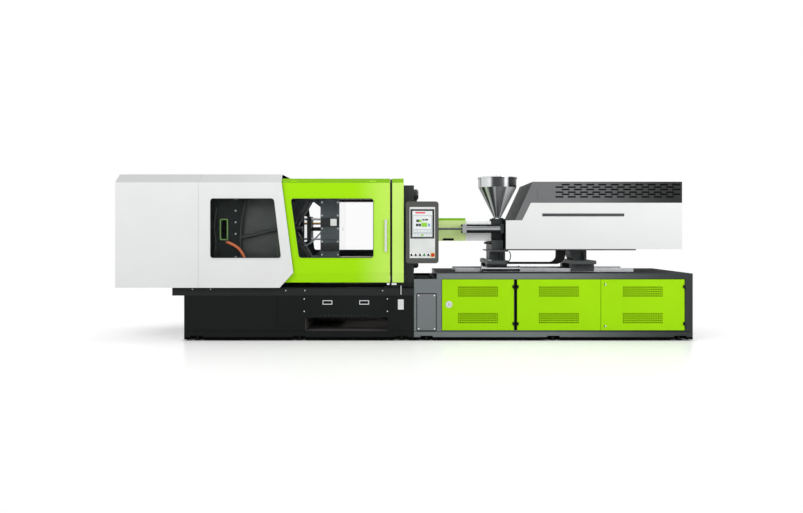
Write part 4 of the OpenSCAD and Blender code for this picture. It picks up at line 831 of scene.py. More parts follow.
injection_rows = [
    ("injection_cover", "dark_trim", faces_in(y=COVER_PROUD)),
    # Painted shade in the cover's mouth.
    ("injection_cover", "painted_inner_shade", faces_in(**COVER_MOUTH)),
    # Painted highlight: the pale front of the purge guard.
    ("purge_guard", "pale_green", faces_in(ny=FACING_FRONT, z=PURGE_FOLD)),
    ("purge_guard", "conduit", faces_in(y=PURGE_PROUD)),
    ("traverse_cylinders", "black_paint", head_bolts),
    # Painted shade on the cap's slanted left faces.
    ("injection_cap", "slant_grey", faces_in(nx=SLANTED_LEFT)),
]
refinish_all(injection_rows)

# %% [markdown]
# ## From a grid to a piece
# Every new piece is a surface over two parameters: a grid of points. Modelling by hand in edit mode would
# work too, but a grid from numpy arrays has exact sizes. One helper makes the quads of a grid, and another
# makes a closed mesh of them, with a finish and a body to move with.

# %% Piece helpers
SHARP_ANGLE = math.radians(35)


def grid_faces(rows, columns, wrap_rows=False):
    """Quads between neighbouring points of a grid. Columns close on themselves, rows only where wrapped."""
    i = np.arange(rows if wrap_rows else rows - 1)
    i, j = np.meshgrid(i, np.arange(columns), indexing="ij")
    i2 = (i + 1) % rows
    j2 = (j + 1) % columns
    quads = np.stack([i * columns + j, i * columns + j2, i2 * columns + j2, i2 * columns + j], axis=-1)
    return quads.reshape(-1, 4)


def add_piece(name, shape, finish_name, body, smooth=True):
    """Makes a piece from a shape, a pair of points in metres and faces, gives it a finish and lets it move
    with a body."""
    points, faces = shape
    mesh = bpy.data.meshes.new(name)
    mesh.from_pydata(points.tolist(), [], faces.tolist())
    shell = bmesh.new()
    shell.from_mesh(mesh)
    bmesh.ops.remove_doubles(shell, verts=shell.verts, dist=1e-6)
    bmesh.ops.dissolve_degenerate(shell, edges=shell.edges, dist=1e-7)
    bmesh.ops.recalc_face_normals(shell, faces=shell.faces)
    shell.to_mesh(mesh)
    shell.free()
    mesh.polygons.foreach_set("use_smooth", np.full(len(mesh.polygons), smooth))
    if smooth:
        mesh.set_sharp_from_angle(angle=SHARP_ANGLE)
    mesh.materials.append(finish[finish_name])
    piece = bpy.data.objects.new(name, mesh)
    bpy.context.collection.objects.link(piece)
    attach(piece, body)
    return piece


print("piece helpers ready")

# %% [markdown]
# ## Sections round an outline
# Seals, gaskets and frames follow the outline of an opening. A bevelled curve could do that, but it rolls at
# the corners. Here a section is carried round a rounded outline with the outline's own normals, so it always
# faces forward. A flat strip is the open form of the same idea: four corners carried along a path.


# %% Frames and strips
def rectangle(x0, x1, z0, z1):
    """Corners of an upright rectangle in X and Z."""
    return [(x0, z0), (x1, z0), (x1, z1), (x0, z1)]


def rounded_loop(corners, radius, steps=6):
    """Closed outline in X and Z: straight sides with a soft corner that starts a radius away from its point.
    Each corner is a quadratic blend from side to side, p(u) = (1-u)^2 a + 2u(1-u) c + u^2 b."""
    c = np.asarray(corners, float)
    to_last = np.roll(c, 1, axis=0) - c
    to_next = np.roll(c, -1, axis=0) - c
    a = c + to_last / np.linalg.norm(to_last, axis=1)[:, None] * radius
    b = c + to_next / np.linalg.norm(to_next, axis=1)[:, None] * radius
    u = np.linspace(0, 1, steps)[None, :, None]
    arcs = (1 - u) ** 2 * a[:, None] + 2 * u * (1 - u) * c[:, None] + u**2 * b[:, None]
    return arcs.reshape(-1, 2)


def framed(loop, section, face_y, sign=1):
    """Section carried round a closed outline: each section point is (outward, forward) from the outline,
    p(s, k) = loop(s) + out(k) n(s) in X and Z, y = face_y - sign * forward(k)."""
    step = np.roll(loop, -1, axis=0) - np.roll(loop, 1, axis=0)
    step /= np.linalg.norm(step, axis=1)[:, None]
    normal = np.stack([step[:, 1], -step[:, 0]], axis=-1)
    section = np.asarray(section, float)
    flat = loop[:, None, :] + section[None, :, :1] * normal[:, None, :]
    y = np.broadcast_to(face_y - sign * section[None, :, 1], flat.shape[:2])
    points = np.stack([flat[..., 0], y, flat[..., 1]], axis=-1)
    return points.reshape(-1, 3), grid_faces(len(loop), len(section), wrap_rows=True)


def strip(path, x0, x1, thickness):
    """Flat strip between two X places along a path in Y and Z: four corners at each point of the path,
    p = (x, y + back, z) with back 0 in front and the thickness behind."""
    y, z = np.asarray(path, float).T
    corners = ((x0, 0.0), (x1, 0.0), (x1, thickness), (x0, thickness))
    rows = np.stack([np.stack([np.full(len(y), x), y + back, z], axis=-1) for x, back in corners], axis=1)
    first = np.broadcast_to(rows[0].mean(axis=0), (1, 4, 3))
    last = np.broadcast_to(rows[-1].mean(axis=0), (1, 4, 3))
    return np.concatenate([first, rows, last]).reshape(-1, 3), grid_faces(len(y) + 2, 4)


print("frame and strip helpers ready")

# %% [markdown]
# ## Window seals
# Each clear sheet sits in a black rubber seal that laps over the edge of the opening, and a flat rubber strip
# covers the safety door's trailing edge, which runs behind the clamp cover. A square section would do from
# afar, but the rounded lip of a D-shaped one is what catches the light.

# %% Window seals
WINDOW_RADIUS = 0.034
SEAL_SECTION = (
    (-0.003, -0.010), (0.003, -0.010), (0.005, 0.0), (0.004, 0.005), (0.001, 0.007), (-0.002, 0.005),
)
COVER_FACE = -0.790
DOOR_FACE = -0.762
SEALS = {
    # name: corners of the opening, face that it lies in, body, 1 in front and -1 at the rear
    "cover_seal_front": (
        ((-2.314, 0.996), (-1.479, 0.996), (-1.564, 1.698), (-2.314, 1.698)), COVER_FACE, "frame", 1,
    ),
    "door_seal_front": (
        ((-1.263, 0.996), (-0.380, 0.996), (-0.380, 1.698), (-1.361, 1.698)), DOOR_FACE, "front_door", 1,
    ),
    "door_seal_rear": (
        ((-1.263, 1.060), (-0.380, 1.060), (-0.380, 1.775), (-1.361, 1.775)), -DOOR_FACE, "rear_door", -1,
    ),
}
TRAILING_EDGE = (-1.519, -1.474)
EDGE_PROUD = 0.002
EDGE_PATH = ((DOOR_FACE - EDGE_PROUD, 0.822), (DOOR_FACE - EDGE_PROUD, 1.886))

for name, (corners, face_y, body, sign) in SEALS.items():
    section_ring = framed(rounded_loop(corners, WINDOW_RADIUS), SEAL_SECTION, face_y, sign)
    add_piece(name, section_ring, "seal_rubber", body)
edge_strip = strip(EDGE_PATH, *TRAILING_EDGE, EDGE_PROUD)
add_piece("door_edge_strip", edge_strip, "seal_rubber", "front_door", False)
print("seals:", len(SEALS), "edge strips: 1")

# %% [markdown]
# ## Turned shapes
# Screw heads, glands and tubes are turned on a lathe, so a profile of radius and height that is spun round an
# axis gives them exactly. Blender's Screw modifier would do the same, one object at a time. Here an array of
# places copies a shape many times into one light mesh.

# %% Turned shapes
SCREW_PROFILE = np.array([(0, 0.45), (0.5, 0.45), (0.5, 1), (0.86, 1), (1, 0.86), (1, 0), (0, 0)])
SCREW_SIDES = 16


def lathe(profile, sides):
    """Turned shape from pairs of radius and height: p(s, t) = (r(s) cos t, r(s) sin t, h(s)).
    A radius of 0 at an end closes it."""
    r, h = np.asarray(profile, float).T[:, :, None]
    t = np.linspace(0, 2 * np.pi, sides, endpoint=False)
    points = np.stack([r * np.cos(t), r * np.sin(t), h + 0 * t], axis=-1)
    return points.reshape(-1, 3), grid_faces(len(profile), sides)


def turned(points, axis):
    """Points whose own Z axis is turned to point along -Y, +Y, +X, -X or +Z."""
    x, y, z = points.T
    views = {"-Y": (x, -z, y), "+Y": (-x, z, y), "+X": (z, x, y), "-X": (-z, -x, y), "+Z": (x, y, z)}
    return np.stack(views[axis], axis=-1)


def placed(shape, axis, places):
    """A turned shape pointed along an axis and copied to several places as one mesh, p + place for each."""
    points, faces = shape
    places = np.asarray(places, float)
    moved = turned(points, axis)[None, :, :] + places[:, None, :]
    starts = np.arange(len(places)) * len(points)
    copied = faces[None, :, ::-1] + starts[:, None, None]
    return moved.reshape(-1, 3), copied.reshape(-1, 4)


def screws(name, places, axis, radius, height, finish_name, body):
    """Cap screws of one size, turned heads with a small edge radius and a blind hole, pointing along axis."""
    head = lathe(SCREW_PROFILE * (radius, height), SCREW_SIDES)
    add_piece(name, placed(head, axis, places), finish_name, body)


print("turned shapes ready")

# %% [markdown]
# ## Screws
# Panels, platens, rails and the tie bar nuts are held by socket cap screws. A bump in the paint could stand
# for them, but real heads catch the light from every side. Their places come from short rules: the corners
# of a panel, a ring round a bar, or even steps along a rail.

# %% Screws
ACCESS_FACE = -0.722
RAIL_Y = 0.27
RAIL_TOP = 0.850
RAIL_STEPS = np.arange(0.66, 2.86, 0.12)
UNDER_FEET = ((1.03, 1.32), (2.04, 2.36))
PLATEN_SIDE = -0.530
PLATEN_COLUMNS = (-1.016, -0.823)
PLATEN_STEPS = np.arange(-0.48, 0.49, 0.16)
PANEL_INSET = 0.012
PANEL_ROWS = (0.351, 0.500)
ACCESS_CORNERS = (0.163, 0.351, 0.141, 0.541)
NUT_X = 0.152
NUT_RING = 0.061


def rectangle_points(x0, x1, z0, z1, y):
    """The four corners of a rectangle in X and Z."""
    return [(x, y, z) for x in (x0, x1) for z in (z0, z1)]


def ring_points(centre_y, centre_z, x, radius, count):
    """Places on a circle round an X axis."""
    t = np.arange(count) * 2 * np.pi / count
    return np.stack([x + 0 * t, centre_y + radius * np.cos(t), centre_z + radius * np.sin(t)], axis=-1)


low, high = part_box("discharge_panel")
panel_places = rectangle_points(low[0] + PANEL_INSET, high[0] - PANEL_INSET, *PANEL_ROWS, BASE_FACE)
screws("panel_screws", panel_places, "-Y", 0.007, 0.005, "polished", "frame")
access_places = rectangle_points(*ACCESS_CORNERS, ACCESS_FACE)
screws("access_screws", access_places, "-Y", 0.008, 0.005, "polished", "frame")
bars = [(sy * TIE_OFFSET, AXIS_Z + sz * TIE_OFFSET) for sy in (-1, 1) for sz in (-1, 1)]
nut_places = np.concatenate([ring_points(y, z, NUT_X, NUT_RING, 6) for y, z in bars])
screws("tie_nut_screws", nut_places, "+X", 0.0055, 0.006, "steel", "frame")
side_places = [(x, PLATEN_SIDE, AXIS_Z + dz) for x in PLATEN_COLUMNS for dz in PLATEN_STEPS]
screws("platen_side_screws", side_places, "-Y", 0.011, 0.010, "steel", "moving_platen")
rail_x = [x for x in RAIL_STEPS if not any(a < x < b for a, b in UNDER_FEET)]
rail_places = [(x, sy * RAIL_Y, RAIL_TOP) for x in rail_x for sy in (-1, 1)]
screws("rail_screws", rail_places, "+Z", 0.008, 0.0008, "black_paint", "frame")
print("screws on the rails:", len(rail_places))

# %% [markdown]
# ## Tubes along a path
# Cables, hoses, rods and edge strips are round sections along a line. A bevelled curve is Blender's own way,
# and it suits drawing by hand. A mesh from a formula is easier to measure.


# %% Tubes along a path
def tube(path, radius, sides=12):
    """Round section carried along a path: p(s, t) = c(s) + r (n(s) cos t + b(s) sin t)."""
    path = np.asarray(path, float)
    tangent = np.gradient(path, axis=0)
    tangent /= np.linalg.norm(tangent, axis=1)[:, None]
    side = np.cross(tangent, np.array([0.31, 0.9, 0.17]))
    side /= np.linalg.norm(side, axis=1)[:, None]
    up = np.cross(tangent, side)
    t = np.linspace(0, 2 * np.pi, sides, endpoint=False)
    ring = side[:, None, :] * np.cos(t)[None, :, None] + up[:, None, :] * np.sin(t)[None, :, None]
    first = np.broadcast_to(path[0], (1, sides, 3))
    last = np.broadcast_to(path[-1], (1, sides, 3))
    points = np.concatenate([first, path[:, None, :] + radius * ring, last])
    return points.reshape(-1, 3), grid_faces(len(path) + 2, sides)


print("tube helper ready")

# %% [markdown]
# ## Inside the clamp
# Behind the left window stands a dark inner guard with a green frame round its port, rows of screws and a
# rubber edge that follows a circle. Beside it a bowed grey sheet covers the links. A flat sheet would look
# like a wall, so it follows a shallow arc, y = edge - bow (1 - t^2).

# %% Inner guard
GUARD_FACE = -0.660
PORT = (-2.222, -2.150, 1.218, 1.448)
PORT_SECTION = ((0.0, -0.003), (0.013, -0.003), (0.013, 0.006), (0.0, 0.006))
GUARD_COLUMNS = (-2.36, -2.045)
GUARD_STEPS = np.arange(0.72, 1.84, 0.14)
BETWEEN_COLUMNS = (-2.25, -2.16)
BETWEEN_ROWS = (0.72, 1.79)
EDGE_X = -1.987
EDGE_OUT = 0.006
EDGE_BEND = 2.2
EDGE_MIDDLE_Z = 1.155
SHEET_X = (-1.985, -1.425)
SHEET_EDGE = -0.575
SHEET_BOW = 0.03
SHEET_MIDDLE_Z = 1.27
SHEET_HALF = 0.57

port_frame = framed(rounded_loop(rectangle(*PORT), 0.004), PORT_SECTION, GUARD_FACE)
add_piece("port_frame", port_frame, "frame_green", "frame", False)
guard_places = [(x, GUARD_FACE, z) for x in GUARD_COLUMNS for z in GUARD_STEPS]
guard_places += [(x, GUARD_FACE, z) for x in BETWEEN_COLUMNS for z in BETWEEN_ROWS]
screws("guard_screws", guard_places, "-Y", 0.009, 0.007, "steel", "frame")
edge_z = np.linspace(0.70, 1.82, 40)
edge_x = EDGE_X + EDGE_BEND - np.sqrt(EDGE_BEND**2 - (edge_z - EDGE_MIDDLE_Z) ** 2)
edge_path = np.stack([edge_x, GUARD_FACE - EDGE_OUT + 0 * edge_z, edge_z], axis=-1)
add_piece("guard_edge", tube(edge_path, 0.011), "seal_rubber", "frame")
t = np.linspace(-1, 1, 25)
sheet_path = np.stack([SHEET_EDGE - SHEET_BOW * (1 - t**2), SHEET_MIDDLE_Z + SHEET_HALF * t], axis=-1)
add_piece("toggle_sheet", strip(sheet_path, *SHEET_X, 0.003), "sheet_grey", "frame")
print("inner guard: frame, screws, edge strip, toggle sheet")

# %% [markdown]
# ## Cables and hoses
# A hose bends evenly between the places where it is held. A smooth curve through a few knots gives its middle
# line, which takes less work than a cloth or rope simulation and comes out the same every time.

# %% Cables and hoses
SERVO_KNOTS = (
    (-2.150, -0.656, 1.182), (-2.125, -0.676, 1.174), (-2.06, -0.69, 1.145), (-1.985, -0.69, 1.085),
    (-1.925, -0.69, 0.97), (-1.90, -0.68, 0.80), (-1.90, -0.67, 0.63),
)
GUARD_KNOTS = ((-2.30, -0.672, 1.02), (-2.28, -0.674, 1.18), (-2.30, -0.674, 1.36), (-2.27, -0.674, 1.60))
CROSS_KNOTS = (
    (-1.985, -0.645, 1.235), (-1.82, -0.640, 1.27), (-1.66, -0.640, 1.31), (-1.50, -0.640, 1.34),
    (-1.42, -0.640, 1.36),
)
PLATEN_KNOTS = ((-1.03, -0.50, 1.30), (-1.08, -0.515, 1.245), (-1.15, -0.52, 1.175), (-1.23, -0.52, 1.13))
GLAND_PLACE = (-2.148, GUARD_FACE, 1.182)
GLAND_PROFILE = (
    (0.0165, 0.0), (0.026, 0.0), (0.030, 0.004), (0.030, 0.014), (0.024, 0.020), (0.0165, 0.020),
)


def smooth_path(knots, count):
    """Catmull-Rom curve through knots: cubic between neighbours, tangent = half the next minus the last."""
    k = np.asarray(knots, float)
    k = np.concatenate([2 * k[:1] - k[1:2], k, 2 * k[-1:] - k[-2:-1]])
    s = np.linspace(0, len(knots) - 1, count)
    i = np.minimum(s.astype(int), len(knots) - 2)
    u = (s - i)[:, None]
    a, b, c, d = k[i], k[i + 1], k[i + 2], k[i + 3]
    return 0.5 * (2 * b + (c - a) * u + (2 * a - 5 * b + 4 * c - d) * u**2 + (3 * b - a - 3 * c + d) * u**3)


def hose(name, knots, radius, finish_name, body):
    """A bent cable or hose with both ends in the machine: a round section along a smooth curve through knots."""
    path = smooth_path(knots, 60)
    piece = add_piece(name, tube(path, radius, 14), finish_name, body)


hose("servo_cable", SERVO_KNOTS, 0.017, "cable_orange", "frame")
gland = placed(lathe(GLAND_PROFILE, 20), "-Y", [GLAND_PLACE])
add_piece("cable_gland", gland, "seal_rubber", "frame")
hose("guard_hose", GUARD_KNOTS, 0.009, "seal_rubber", "frame")
hose("cross_hose", CROSS_KNOTS, 0.022, "seal_rubber", "frame")
hose("platen_hose", PLATEN_KNOTS, 0.010, "hose_grey", "moving_platen")

# %% [markdown]
# ## Boxes with soft edges
# Blocks, stops and plates are boxes, but no real edge is sharp: a small radius gives each one a bright line.
# The Bevel modifier can add it. A sphere cut into eight and pulled apart to the corners of a box has it from
# the start, with no modifier to apply.


# %% Boxes with soft edges
def rounded_box(low, high, radius, steps=4):
    """Box with rounded edges: p(u, v) = corner(u, v) + r n(u, v), n the unit sphere and corner the box
    shrunk by r, taken octant by octant."""
    low, high = np.asarray(low, float), np.asarray(high, float)
    centre, half = (low + high) / 2, (high - low) / 2 - radius
    quarter = np.linspace(0, np.pi / 2, steps)
    u = np.concatenate([quarter + k * np.pi / 2 for k in range(4)])
    sign_x = np.repeat([1, -1, -1, 1], steps)
    sign_y = np.repeat([1, 1, -1, -1], steps)
    v = np.concatenate([quarter - np.pi / 2, quarter])
    sign_z = np.repeat([-1, 1], steps)
    nx = np.cos(v)[:, None] * np.cos(u)[None, :]
    ny = np.cos(v)[:, None] * np.sin(u)[None, :]
    nz = np.sin(v)[:, None] + 0 * u[None, :]
    x = centre[0] + half[0] * sign_x[None, :] + radius * nx
    y = centre[1] + half[1] * sign_y[None, :] + radius * ny
    z = centre[2] + half[2] * sign_z[:, None] + radius * nz
    first = np.tile([centre[0], centre[1], low[2]], (len(u), 1))
    last = np.tile([centre[0], centre[1], high[2]], (len(u), 1))
    points = np.concatenate([first, np.stack([x, y, z], axis=-1).reshape(-1, 3), last])
    return points, grid_faces(len(v) + 2, len(u))


print("box helper ready")

# %% [markdown]
# ## Moving platen side
# The moving platen carries two dark clamp blocks and a small pale plate on its operator side. They could be
# painted on, but the blocks stand out by 16 mm and throw a shadow, so they are soft-edged boxes.

# %% Moving platen side
BLOCK_OUT = 0.016
BLOCK_X = (-1.030, -0.806)
BLOCK_ROWS = ((1.372, 1.470), (1.078, 1.166))
PLATE_FACE = PLATEN_SIDE - 0.0185
PLATE_BACK = PLATEN_SIDE - 0.0155
PLATE_X = (-0.912, -0.836)
PLATE_Z = (1.378, 1.464)
PLATE_SCREWS = (-0.905, -0.843, 1.386, 1.456)

for k, (z0, z1) in enumerate(BLOCK_ROWS):
    block = rounded_box((BLOCK_X[0], PLATEN_SIDE - BLOCK_OUT, z0), (BLOCK_X[1], PLATEN_SIDE, z1), 0.004)
    add_piece(f"platen_block_{k}", block, "block_black", "moving_platen")
plate = rounded_box((PLATE_X[0], PLATE_FACE, PLATE_Z[0]), (PLATE_X[1], PLATE_BACK, PLATE_Z[1]), 0.001, 3)
add_piece("platen_plate", plate, "panel_white", "moving_platen")
plate_places = rectangle_points(*PLATE_SCREWS, PLATE_FACE)
screws("platen_plate_screws", plate_places, "-Y", 0.004, 0.002, "steel", "moving_platen")
print("platen blocks:", len(BLOCK_ROWS), "plate: 1")

# %% [markdown]
# ## Injection unit
# Two hose fittings stand out of the carriage block, a thin cable hangs at the front support, and a guide tube
# with two flanges lies along the rail. Turned profiles give them all; the fittings have six sides, so that a
# spanner could hold them. Dark sheets inside the vented cap are painted shade, so no light comes through its
# slots.

# %% Injection unit
FITTING_PROFILE = (
    (0, 0), (0.016, 0), (0.020, 0.004), (0.020, 0.030), (0.013, 0.034), (0.013, 0.060), (0.017, 0.062),
    (0.017, 0.085), (0, 0.085),
)
FITTING_PLACES = ((1.090, -0.272, 1.168), (1.090, -0.20, 1.168))
SUPPORT_KNOTS = ((1.286, -0.470, 1.065), (1.300, -0.480, 1.02), (1.292, -0.470, 0.96), (1.262, -0.448, 0.93))
GUIDE_PROFILE = (
    (0, 0), (0.040, 0), (0.040, 0.016), (0.028, 0.020), (0.028, 0.456), (0.034, 0.460), (0.034, 0.476),
    (0, 0.476),
)
GUIDE_PLACE = (0.953, -0.372, 0.848)
SHADE_SHEET_X = (1.78, 3.394)
SHADE_SHEET_Y = (-0.488, 0.476)
SHADE_SHEET_Z = (1.692, 1.908)
SHADE_SHEET_T = 0.012
HEAD_X = 0.716
FOOT_X = (1.036, 1.062)
FOOT_Y = (0.20, 0.34, 0.42)
FOOT_TOP = 0.949
FLANGE_RING = 0.066
FLANGE_TOP = 1.483

fittings = placed(lathe(FITTING_PROFILE, 6), "-X", FITTING_PLACES)
add_piece("block_fittings", fittings, "fitting_steel", "carriage", False)
hose("support_cable", SUPPORT_KNOTS, 0.006, "seal_rubber", "carriage")
add_piece("guide_tube", placed(lathe(GUIDE_PROFILE, 28), "+X", [GUIDE_PLACE]), "steel", "carriage")
# Painted shade: two dark sheets inside the cap keep its vent slots dark.
for k, y in enumerate(SHADE_SHEET_Y):
    shade_sheet = rounded_box((SHADE_SHEET_X[0], y, SHADE_SHEET_Z[0]), (SHADE_SHEET_X[1], y + SHADE_SHEET_T, SHADE_SHEET_Z[1]), 0.003, 2)
    add_piece(f"cap_shade_sheet_{k}", shade_sheet, "painted_inner_shade", "carriage")
head_places = [
    (HEAD_X, sy * CYLINDER_Y + dy, AXIS_Z + dz)
    for sy in (-1, 1) for dy in (-BOLT_Y, BOLT_Y) for dz in (-BOLT_Z, BOLT_Z)
]
screws("cylinder_head_screws", head_places, "-X", 0.012, 0.012, "black_paint", "carriage")
foot_places = [(x, sy * y, FOOT_TOP) for x in FOOT_X for y in FOOT_Y for sy in (-1, 1)]
screws("support_screws", foot_places, "+Z", 0.010, 0.010, "steel", "carriage")
t = np.arange(8) * np.pi / 4
flange = [HOPPER_X + FLANGE_RING * np.cos(t), FLANGE_RING * np.sin(t), FLANGE_TOP + 0 * t]
screws("hopper_screws", np.stack(flange, axis=-1), "+Z", 0.007, 0.007, "steel", "carriage")
print("fittings:", len(FITTING_PLACES), "cap shade_sheets:", len(SHADE_SHEET_Y))

# %% [markdown]
# ## Door stops and base screws
# Two plated stops hang under the door's edge, with a short rod beside them, and small screws hold the beam,
# the rear panels and the end wall. Dark strips carry the jamb round the folds of the door at its foot and its
# head. A strip along a two-point path is all that a straight fold needs, and its mirror serves the rear.

# %% Door stops and base screws
JAMB = (-0.178, -0.1535)
JAMB_PATHS = (((-0.728, 0.700), (-0.757, 0.817)), ((-0.757, 1.884), (-0.690, 1.936)))
STOPS_X = ((-0.217, -0.186), (-0.160, -0.103))
STOPS_Y = (-0.742, -0.724)
STOPS_Z = (0.668, 0.692)
ROD_ENDS = ((-0.049, -0.737, 0.553), (-0.049, -0.737, 0.66))
BEAM_FACE = -0.728
BEAM_SCREWS = ((-1.43, 0.600), (-1.20, 0.600), (-0.27, 0.600), (-2.547, 0.618), (-2.33, 0.618))
REAR_FACE = 0.726
REAR_COLUMNS = (0.46, 0.87, 1.29, 1.36, 1.86, 2.35, 2.85, 3.33)
REAR_ROWS = (0.14, 0.718)
END_FACE = -3.45
END_COLUMNS = (-0.74, -0.37, 0, 0.37, 0.74)
END_ROWS = (0.68, 1.28, 1.86)

for k, path in enumerate(JAMB_PATHS):
    points, faces = strip(path, *JAMB, 0.004)
    for place, mirror in (("front", 1), ("rear", -1)):
        jamb_end = (points * (1, mirror, 1), faces)
        add_piece(f"jamb_end_{place}_{k}", jamb_end, "black_paint", "frame", smooth=False)
for k, (x0, x1) in enumerate(STOPS_X):
    stop = rounded_box((x0, STOPS_Y[0], STOPS_Z[0]), (x1, STOPS_Y[1], STOPS_Z[1]), 0.003, 3)
    add_piece(f"door_stop_{k}", stop, "polished", "frame")
add_piece("stop_rod", tube(np.linspace(*ROD_ENDS, 4), 0.006), "polished", "frame")
beam_places = [(x, BEAM_FACE, z) for x, z in BEAM_SCREWS]
screws("beam_screws", beam_places, "-Y", 0.007, 0.004, "steel", "frame")
rear_places = [(x, REAR_FACE, z) for x in REAR_COLUMNS for z in REAR_ROWS]
screws("rear_panel_screws", rear_places, "+Y", 0.008, 0.005, "steel", "frame")
end_places = [(END_FACE, y, z) for y in END_COLUMNS for z in END_ROWS]
screws("end_wall_screws", end_places, "-X", 0.009, 0.006, "steel", "frame")
print("stops:", len(STOPS_X), "screws:", len(beam_places) + len(rear_places) + len(end_places))

# %% [markdown]
# ## Base trim and painted shadow
# A black strip runs along the foot of both bases and stops at the pockets of the levelling feet; it is
# painted shadow, a dark strip where the gap under the base lies in shade. A second one covers the post
# between two base doors, a gasket frames the access panel beside the left door, bright eyelets line the drip
# holes in the chute panel, and a small core sits in the left door's lock. The strips are boxes joined into
# one mesh, so that one piece stands for what is one part on the machine.

# %% Base trim and painted shadow
FEET_X = (-2.5, -1.2715, -0.043, 0.257, 1.7785, 3.3)
POCKET_HALF = 0.075
BASE_ENDS = (-2.650, 3.450)
FOOT_SHADOW_Z = (0.014, 0.042)
FOOT_SHADOW_PROUD = 0.0015
FOOT_SHADOW_SIDE = 0.715
POST_X = (1.3125, 1.3390)
ACCESS_PANEL = (0.145, 0.369, 0.123, 0.559)
GASKET_SECTION = ((0.0, -0.001), (0.009, -0.001), (0.009, 0.0012), (0.0, 0.0012))
HOLE_PITCH = 0.045
HOLE_UP = 0.026
EYELET_PROFILE = (
    (0.0062, 0.0), (0.0062, 0.0016), (0.0070, 0.0022), (0.0080, 0.0016), (0.0084, 0.0), (0.0062, 0.0),
)
CORE_PROFILE = (
    (0, 0), (0.015, 0), (0.016, 0.001), (0.016, 0.003), (0.006, 0.003), (0.006, 0.002), (0, 0.002),
)
LOCK_MARGIN = 0.05


def joined(shapes):
    """Several shapes as one mesh: the faces of each count on from the points before it."""
    starts = np.cumsum([0] + [len(points) for points, faces in shapes])
    points = np.concatenate([points for points, faces in shapes])
    faces = np.concatenate([shape[1] + start for shape, start in zip(shapes, starts)])
    return points, faces


pockets = [x + side for x in FEET_X for side in (-POCKET_HALF, POCKET_HALF)]
ends = [BASE_ENDS[0], *pockets, BASE_ENDS[1]]
# Painted shadow: the boxes along the foot and at both ends darken the gap under the bases; the last box
# covers the post between two base doors.
trim = [
    ((x0, sy * -BASE_FACE - FOOT_SHADOW_PROUD, FOOT_SHADOW_Z[0]), (x1, sy * -BASE_FACE + FOOT_SHADOW_PROUD, FOOT_SHADOW_Z[1]))
    for x0, x1 in zip(ends[0::2], ends[1::2]) for sy in (-1, 1)
]
trim += [((x - FOOT_SHADOW_PROUD, -FOOT_SHADOW_SIDE, FOOT_SHADOW_Z[0]), (x + FOOT_SHADOW_PROUD, FOOT_SHADOW_SIDE, FOOT_SHADOW_Z[1])) for x in BASE_ENDS]
door_low, door_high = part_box("base_door_left")
trim += [((POST_X[0], BASE_FACE - 0.0012, door_low[2]), (POST_X[1], BASE_FACE + 0.0006, door_high[2]))]
strips = joined([rounded_box(*corners, 0.0005, 3) for corners in trim])
add_piece("base_shadow_and_trim", strips, "shadow_and_trim_black", "frame", False)
gasket = framed(rounded_loop(rectangle(*ACCESS_PANEL), 0.003), GASKET_SECTION, BASE_FACE)
add_piece("access_gasket", gasket, "shadow_and_trim_black", "frame", False)
low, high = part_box("discharge_panel")
holes = (low[0] + high[0]) / 2 + (np.arange(14) - 6.5) * HOLE_PITCH
eyelets = placed(lathe(EYELET_PROFILE, 20), "-Y", [(x, BASE_FACE, low[2] + HOLE_UP) for x in holes])
add_piece("drip_eyelets", eyelets, "screw_steel", "frame")
on_lock = faces_in(y=PROUD, x=(door_low[0] + LOCK_MARGIN, door_high[0] - LOCK_MARGIN))
centre = face_rows("base_door_left", "center")
lock = centre[on_lock(centre, face_rows("base_door_left", "normal"))]
lock_middle = (lock.min(axis=0) + lock.max(axis=0)) / 2
lock_place = (lock_middle[0], lock[:, 1].min(), lock_middle[2])
add_piece("lock_core", placed(lathe(CORE_PROFILE, 24), "-Y", [lock_place]), "steel", "base_door_left")
print("trim strips:", len(trim), "eyelets:", len(holes))

# %% [markdown]
# ## Operator panel screen
# The screen shows plain coloured tiles: a header, a drawing field, value boxes and a key row. A picture on it
# would need an image file. Thin tiles, a fraction of a millimetre proud of each other, show the same from
# numbers alone.

# %% Operator panel screen
SCREEN_FACE = -0.793
SCREEN_SKIN = 0.0006
LIFT = 0.0004
DISPLAY_SIDE = 0.022
DISPLAY_FOOT = 0.018
DISPLAY_HEAD = 0.020
VALUE_PITCH = 0.175
KEY_PITCH = 0.134
GREEN_KEY = 3
ICONS = (
    # left, right, bottom and top as fractions, colour
    (0.20, 0.34, 0.57, 0.67, "ink"), (0.34, 0.47, 0.57, 0.67, "green"), (0.50, 0.60, 0.63, 0.69, "ink"),
    (0.62, 0.78, 0.63, 0.69, "ink"), (0.18, 0.30, 0.41, 0.51, "ink"), (0.31, 0.44, 0.41, 0.51, "ink"),
    (0.46, 0.74, 0.39, 0.55, "green"), (0.78, 0.88, 0.41, 0.51, "blue"),
)
low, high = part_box("operator_screen")
display_low = np.array([low[0] + DISPLAY_SIDE, SCREEN_FACE - SCREEN_SKIN, low[2] + DISPLAY_FOOT])
display_high = np.array([high[0] - DISPLAY_SIDE, SCREEN_FACE, high[2] - DISPLAY_HEAD])


def tile(name, u0, u1, v0, v1, colour, lift):
    """A flat screen tile; u and v are fractions of the display's width and height."""
    size = display_high - display_low
    a = display_low + size * np.array([u0, 0, v0]) - np.array([0, lift, 0])
    b = display_low + size * np.array([u1, 1, v1])
    add_piece(name, rounded_box(a, b, 0.00025, 2), f"tile_{colour}", "operator_panel", False)


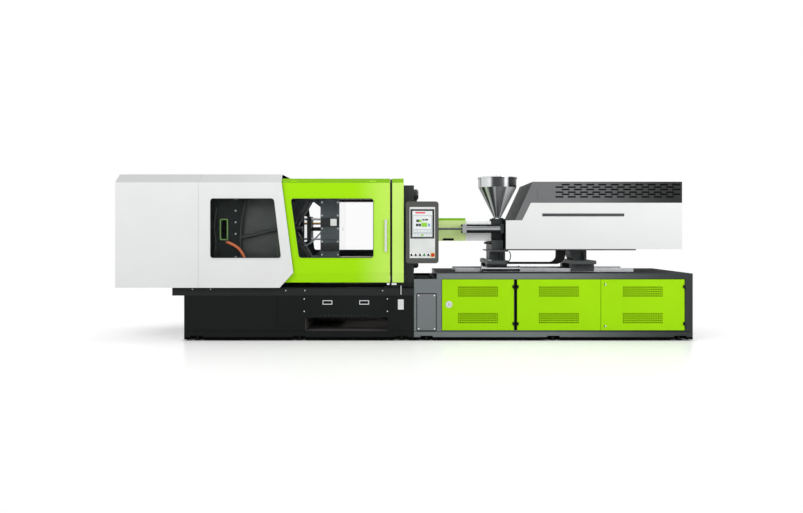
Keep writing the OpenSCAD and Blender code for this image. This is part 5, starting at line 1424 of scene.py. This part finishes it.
tiles = {
    # name: left, right, bottom and top as fractions, colour, how far it stands out
    "display_ground": (0, 1, 0, 1, "grey", 0.0),
    "display_head": (0.02, 0.98, 0.84, 0.985, "white", LIFT),
    "display_header": (0.16, 0.64, 0.90, 0.955, "red", 2 * LIFT),
    "display_field": (0.06, 0.94, 0.30, 0.80, "white", LIFT),
}
for k, icon in enumerate(ICONS):
    tiles[f"display_icon_{k}"] = (*icon, 2 * LIFT)
for k in range(5):
    along = VALUE_PITCH * k
    tiles[f"display_value_{k}"] = (0.07 + along, 0.22 + along, 0.20, 0.26, "white", LIFT)
for k in range(7):
    along = KEY_PITCH * k
    key_colour = "green" if k == GREEN_KEY else "white"
    tiles[f"display_key_{k}"] = (0.04 + along, 0.145 + along, 0.03, 0.10, key_colour, LIFT)
for name, row in tiles.items():
    tile(name, *row)
print("screen tiles:", len(tiles))

# %% [markdown]
# ## Operator panel buttons
# Each push button sits in a plated ring, and the emergency stop on a yellow plate with a round hole. The
# rings are turned. The plate blends a circle into a rounded square: both outlines have the same number of
# points, so the rows between them close without any cutting.

# %% Operator panel buttons
PANEL_FACE = -0.790
RING_PROFILE = (
    (0.0137, 0.0), (0.0137, 0.0045), (0.0150, 0.0055), (0.0182, 0.0045), (0.0190, 0.003), (0.0190, 0.0),
    (0.0137, 0.0),
)
PLATE_HALF = 0.0245
PLATE_T = 0.0018
STOP_HOLE = 0.013


def middle(node):
    """Middle of a node's box."""
    return np.mean(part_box(node), axis=0)


buttons = [middle(f"button_{k}") for k in range(1, 6)]
ring_places = [(button[0], PANEL_FACE, button[2]) for button in buttons]
add_piece("button_rings", placed(lathe(RING_PROFILE, 28), "-Y", ring_places), "polished", "operator_panel")
stop_x, _, stop_z = middle("emergency_stop")
square = rectangle(stop_x - PLATE_HALF, stop_x + PLATE_HALF, stop_z - PLATE_HALF, stop_z + PLATE_HALF)
rim = rounded_loop(square, 0.005)
t = np.linspace(0, 2 * np.pi, len(rim), endpoint=False) + np.pi * 1.25
hole = np.stack([stop_x + STOP_HOLE * np.cos(t), stop_z + STOP_HOLE * np.sin(t)], axis=-1)
levels = ((hole, 0.0), (hole, PLATE_T), (rim, PLATE_T), (rim, 0.0))
points = np.stack([np.stack([p[:, 0], PANEL_FACE - y + 0 * t, p[:, 1]], axis=-1) for p, y in levels])
stop_plate = (points.reshape(-1, 3), grid_faces(len(levels), len(rim), wrap_rows=True))
add_piece("stop_plate", stop_plate, "yellow_plate", "operator_panel")
print("button rings:", len(buttons), "stop plate: 1")
